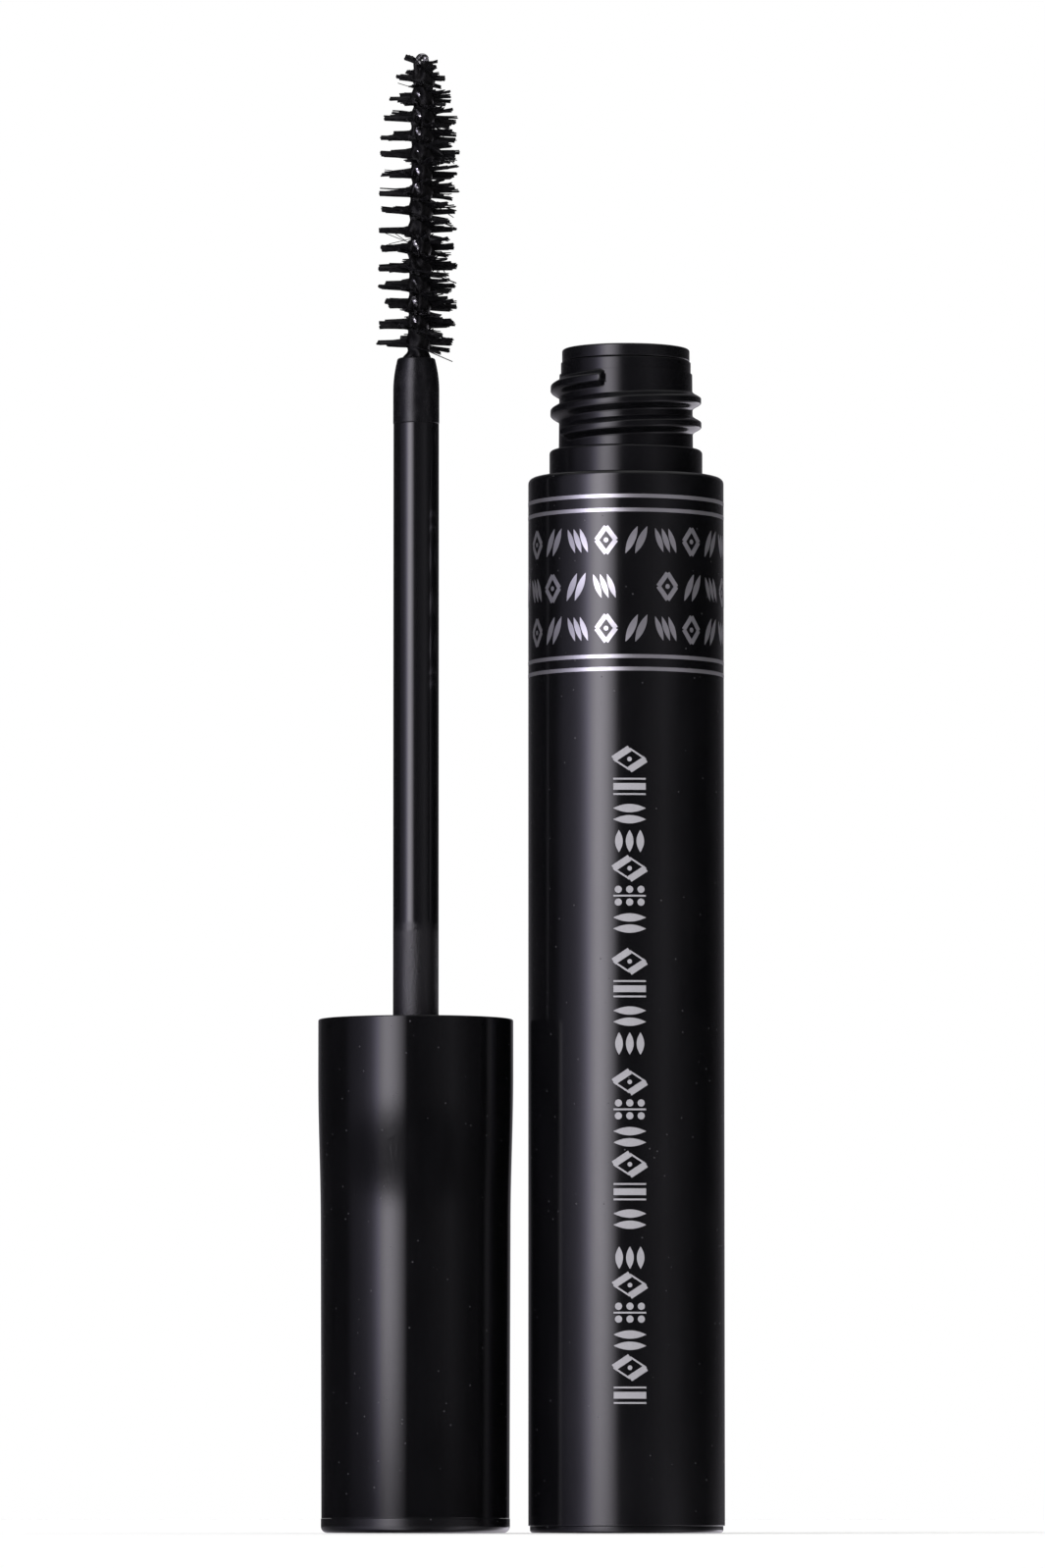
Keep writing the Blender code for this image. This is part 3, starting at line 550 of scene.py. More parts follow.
def ferrule_black():
    """The brush's end piece: the same plastic, dulled and lightly smeared by mascara."""
    n = new_material("ferrule_black")
    smear = n.noise(1.6, 4.0, (1, 1, 0.5), 0.6)
    grit = n.noise(14.0, 3.0, roughness=0.6)
    gloss = n.ranged(smear, 0.3, 0.7, 0.18, 0.30)
    tone = n.mixed(n.ranged(smear, 0.35, 0.7, 0.0, 1.0), (0.0038, 0.0038, 0.0044), (0.0070, 0.0068, 0.0078))
    normal = n.bump(grit, 0.00002, 0.35)
    normal = n.bump(smear, 0.00006, 0.25, normal)
    return n.surface(Base_Color=tone, Roughness=gloss, Normal=normal, Specular_IOR_Level=0.30)


def silver_foil():
    """Hot-stamped silver foil: metal with a fine brushed grain and a few worn spots."""
    n = new_material("silver_foil")
    grain = n.noise(26.0, 3.0, (1, 1, 0.25), 0.6)
    wear = n.noise(7.0, 4.0, roughness=0.7)
    gloss = n.ranged(grain, 0.3, 0.7, 0.30, 0.42)
    tone = n.mixed(n.ranged(wear, 0.62, 0.75, 0.0, 0.35), (0.49, 0.483, 0.505), (0.28, 0.275, 0.29))
    normal = n.bump(grain, 0.000004, 0.3)
    return n.surface(Base_Color=tone, Roughness=gloss, Metallic=0.9, Normal=normal)


def silver_ink():
    """Screen-printed silver-grey ink: flat and even, with the screen's slight mottle."""
    n = new_material("silver_ink")
    mottle = n.noise(13.0, 3.0, roughness=0.6)
    tone = n.mixed(n.ranged(mottle, 0.3, 0.7, 0.0, 1.0), (0.295, 0.293, 0.300), (0.345, 0.343, 0.350))
    gloss = n.ranged(mottle, 0.3, 0.7, 0.48, 0.60)
    normal = n.bump(mottle, 0.000006, 0.3)
    return n.surface(Base_Color=tone, Roughness=gloss, Normal=normal)


def wire_steel():
    """Drawn steel wire, blackened where mascara has dried on it."""
    n = new_material("wire_steel")
    stain = n.noise(1.9, 4.0, roughness=0.6)
    stained = n.ranged(stain, 0.42, 0.54, 0.0, 1.0)
    tone = n.mixed(stained, (0.62, 0.61, 0.63), (0.006, 0.006, 0.006))
    metal = n.ranged(stain, 0.42, 0.54, 1.0, 0.0)
    gloss = n.ranged(stain, 0.35, 0.6, 0.16, 0.34)
    normal = n.bump(n.noise(9.0, 3.0), 0.00001, 0.3)
    return n.surface(Base_Color=tone, Metallic=metal, Roughness=gloss, Normal=normal)


def bristle_black():
    """Black nylon fibre with a skin of mascara."""
    n = new_material("bristle_black")
    coat = n.noise(2.4, 4.0, roughness=0.6)
    tone = n.mixed(n.ranged(coat, 0.3, 0.7, 0.0, 1.0), (0.0035, 0.0035, 0.004), (0.011, 0.0105, 0.012))
    gloss = n.ranged(coat, 0.3, 0.7, 0.34, 0.60)
    normal = n.bump(n.noise(11.0, 3.0), 0.00002, 0.4)
    return n.surface(Base_Color=tone, Roughness=gloss, Normal=normal, Specular_IOR_Level=0.16)


def mascara_black():
    """Wet mascara: deep black, lumpy and glossy."""
    n = new_material("mascara_black")
    lumps = n.noise(1.8, 5.0, roughness=0.6)
    tone = n.mixed(n.ranged(lumps, 0.3, 0.7, 0.0, 1.0), (0.0022, 0.0022, 0.0022), (0.0055, 0.0052, 0.0055))
    gloss = n.ranged(lumps, 0.3, 0.7, 0.24, 0.48)
    normal = n.bump(lumps, 0.00012, 0.5)
    return n.surface(Base_Color=tone, Roughness=gloss, Normal=normal, Specular_IOR_Level=0.08)


def gasket_white():
    """Pressed foam sealing ring with fine pores and a grey smear of use."""
    n = new_material("gasket_white")
    pores = n.noise(9.0, 4.0, roughness=0.7)
    smear = n.noise(0.5, 3.0)
    tone = n.mixed(n.ranged(smear, 0.45, 0.75, 0.0, 0.6), (0.62, 0.61, 0.59), (0.20, 0.20, 0.20))
    gloss = n.ranged(pores, 0.3, 0.7, 0.55, 0.75)
    normal = n.bump(pores, 0.00005, 0.5)
    return n.surface(Base_Color=tone, Roughness=gloss, Normal=normal)


SLEEVE_BLACK = moulded_black("sleeve_black", (0.0030, 0.0030, 0.0035), 0.14, 0.50)
PLUG_BLACK = moulded_black("plug_black", (0.0030, 0.0030, 0.0034), 0.20, 0.40)
NECK_BLACK = moulded_black("neck_black", (0.0034, 0.0034, 0.0040), 0.19, 0.33, dust=False)
WIPER_BLACK = moulded_black("wiper_black", (0.0042, 0.0042, 0.0048), 0.22, 0.38, dust=False)
INNER_BLACK = moulded_black("inner_black", (0.0040, 0.0040, 0.0046), 0.28, 0.40, dust=False)
CAP_BLACK = moulded_black("cap_black", (0.0030, 0.0030, 0.0034), 0.05, 0.34)
STEM_BLACK = stem_black()
FERRULE_BLACK = ferrule_black()
FOIL = silver_foil()
INK = silver_ink()
WIRE = wire_steel()
BRISTLE_BLACK = bristle_black()
MASCARA = mascara_black()
GASKET = gasket_white()


# ---------------- bottle

def build_sleeve():
    bore = SLEEVE_RADIUS - SLEEVE_WALL
    corners = [
        (COLLAR_HOLE_RADIUS, SHOULDER_Z),
        (SLEEVE_RADIUS, SHOULDER_Z, SHOULDER_FILLET),
        (SLEEVE_RADIUS, SLEEVE_LOW.z, SLEEVE_EDGE_FILLET),
        (bore, SLEEVE_LOW.z),
        (bore, SHOULDER_Z - SHOULDER_THICKNESS),
        (COLLAR_HOLE_RADIUS, SHOULDER_Z - SHOULDER_THICKNESS),
    ]
    piece = lathe("sleeve_tube", corners, 0.0, SLEEVE_BLACK, "bottle")
    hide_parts("outer_sleeve")


def build_base():
    flange = (PLUG_HIGH.x - PLUG_LOW.x) / 2
    spigot = SLEEVE_RADIUS - SLEEVE_WALL - PLUG_GAP
    flange_top = SLEEVE_LOW.z - SEAM_GAP
    recess = PLUG_LOW.z + BASE_RECESS_DEPTH
    gate = PLUG_LOW.z + BASE_RECESS_DEPTH / 2
    corners = [
        (0.0, PLUG_HIGH.z),
        (spigot, PLUG_HIGH.z, SPIGOT_FILLET),
        (spigot, flange_top),
        (flange, flange_top, PLUG_EDGE_FILLET),
        (flange, PLUG_LOW.z, BASE_EDGE_FILLET),
        (BASE_RECESS_RADIUS, PLUG_LOW.z, RECESS_FILLET),
        (BASE_RECESS_RADIUS - RECESS_SLOPE, recess, RECESS_FILLET),
        (GATE_OUTER_RADIUS, recess, RECESS_FILLET),
        (GATE_INNER_RADIUS, gate, GATE_FILLET),
        (0.0, gate),
    ]
    piece = lathe("base_disc", corners, 0.0, PLUG_BLACK, "bottle")
    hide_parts("base_plug")


def build_neck():
    collar_top = SHOULDER_Z + COLLAR_HEIGHT
    vial_radius = (VIAL_HIGH.x - VIAL_LOW.x) / 2
    vial_top = SHOULDER_Z - VIAL_SHOULDER_DROP
    land_bottom = NECK_TOP_Z - NECK_LAND_HEIGHT
    high_z = NECK_TOP_Z - THREAD_BELOW_TOP
    low_z = high_z - THREAD_TURNS * THREAD_PITCH
    rows = round((land_bottom - collar_top) / NECK_ROW_HEIGHT)
    side = []
    for row in range(1, rows):
        share = row / rows
        radius = NECK_TOP_RADIUS + (NECK_ROOT_RADIUS - NECK_TOP_RADIUS) * share
        side.append((radius, land_bottom + (collar_top - land_bottom) * share))
    corners = [
        (0.0, VIAL_LOW.z + VIAL_FLOOR),
        (VIAL_BORE_RADIUS, VIAL_LOW.z + VIAL_FLOOR, VIAL_FLOOR_FILLET),
        (VIAL_BORE_RADIUS, vial_top - VIAL_SLOPE_TOP - VIAL_SLOPE_HEIGHT),
        (NECK_BORE_RADIUS, vial_top - VIAL_SLOPE_TOP),
        (NECK_BORE_RADIUS, NECK_TOP_Z),
        (NECK_LAND_RADIUS, NECK_TOP_Z, NECK_EDGE_FILLET),
        (NECK_LAND_RADIUS, land_bottom),
        (NECK_TOP_RADIUS, land_bottom, NECK_LAND_FILLET),
        *side,
        (NECK_ROOT_RADIUS, collar_top, NECK_ROOT_FILLET),
        (COLLAR_RADIUS, collar_top, COLLAR_FILLET),
        (COLLAR_RADIUS, vial_top),
        (vial_radius, vial_top),
        (vial_radius, VIAL_LOW.z, VIAL_EDGE_FILLET),
        (0.0, VIAL_LOW.z),
    ]
    start_deg = THREAD_END_DEG - 360 * THREAD_TURNS
    swell = thread_swell(low_z, start_deg, THREAD_TURNS, THREAD_HEIGHT, NECK_SIDE_RADII)
    piece = lathe("threaded_neck", corners, 0.0, NECK_BLACK, "bottle", NECK_SEGMENTS, swell)
    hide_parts("vial")


def build_wiper():
    flange = (WIPER_HIGH.x - WIPER_LOW.x) / 2
    tube = NECK_BORE_RADIUS - WIPER_GAP
    bore = tube - WIPER_WALL
    flange_bottom = NECK_TOP_Z + WIPER_FLANGE_GAP
    tube_bottom = MOUTH_Z - WIPER_TUBE_LENGTH
    lip_top = WIPER_LOW.z + WIPER_LIP_LENGTH
    corners = [
        (bore, MOUTH_Z, WIPER_MOUTH_FILLET),
        (flange, MOUTH_Z, WIPER_FLANGE_FILLET),
        (flange, flange_bottom, NECK_EDGE_FILLET),
        (tube, flange_bottom),
        (tube, tube_bottom),
        (WIPER_LIP_RADIUS, lip_top),
        (WIPER_LIP_RADIUS, WIPER_LOW.z, WIPER_LIP_FILLET),
        (WIPER_LIP_BORE_RADIUS, WIPER_LOW.z, WIPER_LIP_FILLET),
        (WIPER_LIP_BORE_RADIUS, lip_top + 0.4 * MM, 0.4 * MM),
        (bore, tube_bottom + WIPER_WALL, 0.8 * MM),
    ]
    piece = lathe("wiper_insert", corners, 0.0, WIPER_BLACK, "bottle")
    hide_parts("wiper")


# ---------------- foil print on the sleeve

class Print:
    """Thin raised bands that follow the sleeve's wall. Places are (distance round the wall, height)."""

    def __init__(self):
        self.points = []
        self.faces = []

    def place(self, along, height, lift):
        angle = along / SLEEVE_RADIUS - math.pi / 2
        radius = SLEEVE_RADIUS + lift
        self.points.append((radius * math.cos(angle), radius * math.sin(angle), height))
        return len(self.points) - 1

    def section(self, left, right):
        """The four corners of a band where it is cut across: two on its face and two under it."""
        return (
            self.place(*left, FOIL_PROUD),
            self.place(*right, FOIL_PROUD),
            self.place(*right, -FOIL_SUNK),
            self.place(*left, -FOIL_SUNK),
        )

    def band(self, line, widths):
        """A band along a straight line of points, with a width at each of them."""
        along = (Vector(line[-1]) - Vector(line[0])).normalized()
        across = Vector((-along.y, along.x))
        sections = []
        for point, width in refined(line, widths):
            sections.append(self.section(point + across * width / 2, point - across * width / 2))
        for here, there in zip(sections, sections[1:]):
            self.faces += quads(here, there)
        self.faces.append(tuple(reversed(sections[0])))
        self.faces.append(sections[-1])

    def ring(self, height, width):
        """A level band all the way round."""
        around = 2 * math.pi * SLEEVE_RADIUS
        sections = []
        for k in range(RING_SECTIONS):
            along = around * k / RING_SECTIONS
            sections.append(self.section((along, height + width / 2), (along, height - width / 2)))
        for k in range(RING_SECTIONS):
            self.faces += quads(sections[k], sections[(k + 1) % RING_SECTIONS])

    def leaf(self, centre, half_length, width, lean):
        """A filled almond shape that leans from the upright by an angle."""
        x, z = centre
        line = []
        widths = []
        for step in range(SHAPE_STEPS + 1):
            t = 2 * step / SHAPE_STEPS - 1
            line.append((x + half_length * t * math.sin(lean), z + half_length * t * math.cos(lean)))
            widths.append(max(width * (1 - t * t), FINEST_WIDTH))
        self.band(line, widths)

    def dot(self, centre, radius):
        x, z = centre
        line = []
        widths = []
        for step in range(SHAPE_STEPS + 1):
            t = -math.cos(math.pi * step / SHAPE_STEPS)
            line.append((x, z + radius * t))
            widths.append(max(2 * radius * math.sqrt(1 - t * t), FINEST_WIDTH))
        self.band(line, widths)

    def lozenge(self, centre, half_width, half_height, thick, thin):
        """An outlined diamond whose two pairs of sides differ in weight."""
        x, z = centre
        corners = [(x - half_width, z), (x, z + half_height), (x + half_width, z), (x, z - half_height)]
        weights = [thick, thin, thick, thin]
        for index in range(4):
            start, end = corners[index], corners[(index + 1) % 4]
            self.band([start, end], [weights[index]] * 2)

    def build(self, name, material):
        return new_piece(name, self.points, self.faces, material, "bottle")


def refined(line, widths):
    """The line's points and widths, with more between them so that a band can follow the round wall."""
    fine = []
    for index in range(len(line) - 1):
        start, end = Vector(line[index]), Vector(line[index + 1])
        steps = max(1, math.ceil((end - start).length / PRINT_STEP))
        for step in range(steps):
            share = step / steps
            width = widths[index] + (widths[index + 1] - widths[index]) * share
            fine.append((start.lerp(end, share), width))
    fine.append((Vector(line[-1]), widths[-1]))
    return fine


def build_foil_rings():
    rings = Print()
    for height in FOIL_RING_HEIGHTS:
        rings.ring(height, FOIL_RING_WIDTH)
    piece = rings.build("foil_rings", FOIL)


def build_foil_rows():
    """Three rows of a leaf and lozenge border, the middle one shifted by half its repeat."""
    rows = Print()
    repeat = math.pi * SLEEVE_RADIUS
    pitch = (repeat - ROW_GAP) / ROW_ELEMENTS
    for index, height in enumerate(ROW_HEIGHTS):
        shift = ROW_GAP_CENTRE + (0 if index == 1 else repeat / 2)
        for half in range(2):
            start = shift + half * repeat + ROW_GAP / 2
            for element in range(ROW_ELEMENTS):
                centre = (start + pitch * (element + 0.5), height)
                draw_row_element(rows, element, centre)
    piece = rows.build("foil_border", FOIL)


def draw_row_element(rows, element, centre):
    x, z = centre
    if element % 3 == 0:
        rows.lozenge(centre, ROW_LOZENGE_HALF_WIDTH, ROW_HALF_HEIGHT, ROW_STROKE, ROW_STROKE)
        rows.dot(centre, ROW_DOT_RADIUS)
    elif element % 3 == 1:
        for side in (-1, 1):
            leaf_centre = (x + side * 0.42 * MM, z)
            rows.leaf(leaf_centre, ROW_HALF_HEIGHT * 1.12, 0.62 * MM, math.radians(24))
    else:
        for side in (-1, 0, 1):
            leaf_centre = (x + side * 0.62 * MM, z)
            rows.leaf(leaf_centre, ROW_HALF_HEIGHT * 0.95, 0.50 * MM, math.radians(-20))


def build_column():
    """An upright ornament down the front, in four groups of lozenges, bars, leaves, dots and petals."""
    column = Print()
    spaces = sum(COLUMN_GROUPS) + COLUMN_GAP * (len(COLUMN_GROUPS) - 1)
    pitch = (COLUMN_HIGH_Z - COLUMN_LOW_Z) / spaces
    z = COLUMN_LOW_Z + pitch / 2
    kind = 0
    for group in COLUMN_GROUPS:
        for _ in range(group):
            draw_column_element(column, COLUMN_ORDER[kind % len(COLUMN_ORDER)], z)
            kind += 1
            z += pitch
        z += pitch * COLUMN_GAP
    piece = column.build("printed_column", INK)


def draw_column_element(column, kind, z):
    low = COLUMN_CENTRE - COLUMN_HALF_WIDTH
    high = COLUMN_CENTRE + COLUMN_HALF_WIDTH
    if kind == "lozenge":
        column.lozenge((COLUMN_CENTRE, z), COLUMN_HALF_WIDTH, 0.92 * MM, THICK, THIN)
        column.dot((COLUMN_CENTRE, z), 0.20 * MM)
    elif kind == "bars":
        for rise, weight in ((0.66 * MM, THIN), (0.0, THICK), (-0.66 * MM, THIN)):
            column.band([(low, z + rise), (high, z + rise)], [weight] * 2)
    elif kind == "leaves":
        for rise in (0.48 * MM, -0.48 * MM):
            column.leaf((COLUMN_CENTRE, z + rise), COLUMN_HALF_WIDTH, 0.72 * MM, math.radians(90))
    elif kind == "petals":
        for side in (-1, 0, 1):
            column.leaf((COLUMN_CENTRE + side * 0.92 * MM, z), 0.95 * MM, 0.66 * MM, 0.0)
    else:
        column.band([(low, z), (high, z)], [THIN] * 2)
        for side in (-1, 0, 1):
            for rise in (0.55 * MM, -0.55 * MM):
                column.dot((COLUMN_CENTRE + side * 0.98 * MM, z + rise), 0.31 * MM)


# ---------------- cap

def cap_radius(height):
    """Outer radius of the cap: a slow taper, then a smooth flare to the straight rim."""
    rim = (SHELL_HIGH.x - SHELL_LOW.x) / 2
    taper = min(height / CAP_TAPER_HEIGHT, 1.0)
    flare = min(max((height - CAP_TAPER_HEIGHT) / CAP_FLARE_HEIGHT, 0.0), 1.0)
    missing = CAP_TAPER_GROWTH * (1 - taper) + CAP_FLARE_GROWTH * (1 - smoothed(flare))
    return rim - missing


def build_cap_shell():
    top, bottom = SHELL_HIGH.z, SHELL_LOW.z
    side = []
    for row in range(1, CAP_ROWS):
        height = top + (bottom - top) * row / CAP_ROWS
        side.append((cap_radius(height), height))
    corners = [
        (CAP_BORE_RADIUS, top, CAP_BORE_FILLET),
        (cap_radius(top), top, CAP_RIM_FILLET),
        *side,
        (cap_radius(bottom), bottom, PLUG_EDGE_FILLET),
        (CAP_BORE_RADIUS, bottom),
    ]
    piece = lathe("cap_tube", corners, CAP_X, CAP_BLACK, "applicator")
    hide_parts("cap_shell")


def build_cap_end():
    flange = (END_HIGH.x - END_LOW.x) / 2
    flange_top = SHELL_LOW.z - SEAM_GAP
    recess = END_LOW.z + BASE_RECESS_DEPTH
    corners = [
        (0.0, END_HIGH.z),
        (CAP_SPIGOT_RADIUS, END_HIGH.z, SPIGOT_FILLET),
        (CAP_SPIGOT_RADIUS, flange_top),
        (flange, flange_top, PLUG_EDGE_FILLET),
        (flange, END_LOW.z, CAP_END_FILLET),
        (CAP_RECESS_RADIUS, END_LOW.z, RECESS_FILLET),
        (CAP_RECESS_RADIUS - RECESS_SLOPE, recess, RECESS_FILLET),
        (0.0, recess),
    ]
    piece = lathe("cap_end_disc", corners, CAP_X, PLUG_BLACK, "applicator")
    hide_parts("cap_end_plug")


def build_inner_cap():
    outer = (INNER_HIGH.x - INNER_LOW.x) / 2
    ceiling = GASKET_LOW.z - GASKET_GAP
    underside = ceiling - CEILING_THICKNESS
    rim = INNER_HIGH.z
    rows = round((rim - ceiling) / INNER_ROW_HEIGHT)
    wall = [(INNER_BORE_RADIUS, ceiling + (rim - ceiling) * row / rows) for row in range(2, rows)]
    socket = STEM_RADIUS + SOCKET_GAP
    corners = [
        (0.0, INNER_LOW.z + SOCKET_FLOOR),
        (socket, INNER_LOW.z + SOCKET_FLOOR),
        (socket, ceiling),
        (INNER_BORE_RADIUS, ceiling, CEILING_FILLET),
        *wall,
        (INNER_BORE_RADIUS, rim, INNER_EDGE_FILLET),
        (outer, rim, INNER_EDGE_FILLET),
        (outer, underside, INNER_FILLET),
        (BOSS_RADIUS, underside, INNER_FILLET),
        (BOSS_RADIUS, INNER_LOW.z, INNER_FILLET),
        (0.0, INNER_LOW.z),
    ]
    low_z = ceiling + CAP_THREAD_ABOVE_CEILING
    swell = thread_swell(
        low_z, CAP_THREAD_START_DEG, CAP_THREAD_TURNS, -CAP_THREAD_HEIGHT, INNER_SIDE_RADII
    )
    piece = lathe("threaded_insert", corners, CAP_X, INNER_BLACK, "applicator", swell=swell)
    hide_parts("inner_cap")


# ---------------- wand

def build_stem():
    top = STEM_HIGH.z - STEM_SEAM_DROP
    bore_bottom = STEM_HIGH.z - STEM_BORE_DEPTH
    corners = [
        (0.0, bore_bottom),
        (STEM_BORE_RADIUS, bore_bottom),
        (STEM_BORE_RADIUS, top),
        (STEM_RADIUS, top, STEM_TOP_FILLET),
        (STEM_RADIUS, STEM_LOW.z, STEM_FOOT_FILLET),
        (0.0, STEM_LOW.z),
    ]
    piece = lathe("stem_rod", corners, CAP_X, STEM_BLACK, "applicator", ROD_SEGMENTS)
    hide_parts("wand_stem")


def build_ferrule():
    radius = (FERRULE_HIGH.x - FERRULE_LOW.x) / 2
    bottom = STEM_HIGH.z - STEM_SEAM_DROP + SEAM_GAP
    top = FERRULE_HIGH.z
    bore_bottom = FERRULE_LOW.z + FERRULE_FLOOR
    side = []
    for row in range(FERRULE_ROWS):
        share = row / FERRULE_ROWS
        drop = FERRULE_TOP_DROP + (FERRULE_TAPER_LENGTH - FERRULE_TOP_DROP) * share
        side.append((radius - FERRULE_TAPER_STEP * (1 - share) ** 2, top - drop))
    corners = [
        (0.0, bore_bottom),
        (FERRULE_BORE_RADIUS, bore_bottom),
        (FERRULE_BORE_RADIUS, top, FERRULE_EDGE_FILLET),
        (radius - FERRULE_TOP_STEP, top, FERRULE_TOP_FILLET),
        *side,
        (radius, bottom, FERRULE_EDGE_FILLET),
        (FERRULE_TENON_RADIUS, bottom),
        (FERRULE_TENON_RADIUS, FERRULE_LOW.z),
        (0.0, FERRULE_LOW.z),
    ]
    piece = lathe("ferrule_sleeve", corners, CAP_X, FERRULE_BLACK, "applicator", ROD_SEGMENTS)
    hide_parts("brush_ferrule")


def fibre_angle(height):
    """Direction of the bristles at a height: the wire has a left-hand twist."""
    return -2 * math.pi * (height - TUFT_Z) / WIRE_LEAD


def wire_angle(height):
    """Direction of the first strand. The twist ends quicker, so that the fold lies across the view."""
    last = min(max((height - WIRE_HIGH.z + FOLD_BELOW_TOP) / FOLD_LENGTH, 0.0), 1.0)
    return fibre_angle(height) + math.pi / 2 - FOLD_TURN * smoothed(last)


def leaned(x, y, z):
    """A point of the brush, whose wire leans a little from the stem's line."""
    rise = max(z - FERRULE_HIGH.z, 0.0)
    return (CAP_X + x + BRUSH_LEAN * rise, y, z)


class Tubes:
    """Many thin tubes in one mesh."""

    def __init__(self):
        self.points = []
        self.faces = []

    def add(self, line, radii, sides):
        rings = []
        up = Vector((0, 0, 1))
        for index, point in enumerate(line):
            before = Vector(line[max(index - 1, 0)])
            after = Vector(line[min(index + 1, len(line) - 1)])
            along = (after - before).normalized()
            side = along.cross(up)
            if side.length < 0.01:
                side = along.cross(Vector((1, 0, 0)))
            side.normalize()
            over = side.cross(along)
            ring = []
            for k in range(sides):
                angle = 2 * math.pi * k / sides
                offset = side * math.cos(angle) + over * math.sin(angle)
                ring.append(len(self.points))
                self.points.append(tuple(Vector(point) + offset * radii[index]))
            rings.append(ring)
        for here, there in zip(rings, rings[1:]):
            self.faces += quads(here, there)
        self.faces.append(tuple(reversed(rings[0])))
        self.faces.append(tuple(rings[-1]))


def build_wire():
    """One wire folded in two and twisted, with the bend at the tip."""
    bend_z = WIRE_HIGH.z - WIRE_OFFSET - WIRE_RADIUS
    bottom = FERRULE_HIGH.z - WIRE_IN_FERRULE
    count = round((bend_z - bottom) / WIRE_LEAD * WIRE_STEPS_PER_TURN)

    def strand(half_turn):
        line = []
        for step in range(count + 1):
            z = bottom + (bend_z - bottom) * step / count
            angle = wire_angle(z) + half_turn
            line.append(leaned(WIRE_OFFSET * math.cos(angle), WIRE_OFFSET * math.sin(angle), z))
        return line

    bend = []
    across = wire_angle(bend_z)
    for step in range(1, WIRE_BEND_STEPS):
        angle = math.pi * step / WIRE_BEND_STEPS
        reach = WIRE_OFFSET * math.cos(angle)
        z = bend_z + WIRE_OFFSET * math.sin(angle)
        bend.append(leaned(reach * math.cos(across), reach * math.sin(across), z))
    line = strand(0.0) + bend + strand(math.pi)[::-1]
    tubes = Tubes()
    tubes.add(line, [WIRE_RADIUS] * len(line), WIRE_SIDES)
    piece = new_piece("twisted_wire", tubes.points, tubes.faces, WIRE, "applicator")
    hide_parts("wire_core")


def brush_radius(height):
    """Radius of the brush: straight for most of its length, narrowing to the tip."""
    from_tip = min(max((WIRE_HIGH.z - height) / BRUSH_TAPER, 0.0), 1.0)
    return BRISTLE_RADIUS * (BRUSH_TIP_SHARE + (1 - BRUSH_TIP_SHARE) * math.sin(math.pi / 2 * from_tip))


def tuft_clumps(rng):
    """The clumps of half a turn of fibres: (from, to, centre, rise, reach, gather), angles in degrees
    from the left. The gather is how far the tips close up along the wire.

    The fibres that point left hang together in one broad tuft of up to three strands. The others keep to
    small clumps.
    """
    clumps = []
    half = rng.uniform(50, 60)
    strands = rng.choice((1, 2, 2, 3, 3))
    edges = [-half] + sorted(rng.uniform(-0.6 * half, 0.6 * half) for _ in range(strands - 1)) + [half]
    longest = rng.randrange(strands)
    lean = rng.gauss(0, 0.09)
    for strand in range(strands):
        low, high = edges[strand], edges[strand + 1]
        centre = rng.uniform(0.30, 0.65) * (low + high) / 2
        reach = 1.0 if strand == longest else rng.uniform(0.70, 0.98)
        clumps.append((low, high, centre, lean + rng.gauss(0, 0.15), reach, rng.uniform(0.35, 0.80)))
    at = half
    while at < 360 - half:
        width = rng.uniform(11, 24)
        end = min(at + width, 360 - half)
        centre = (at + end) / 2 + rng.gauss(0, 3)
        rise = rng.uniform(-0.32, 0.32)
        clumps.append((at, end, centre, rise, rng.uniform(0.87, 1.0), rng.uniform(0.50, 0.92)))
        at = end
    return clumps


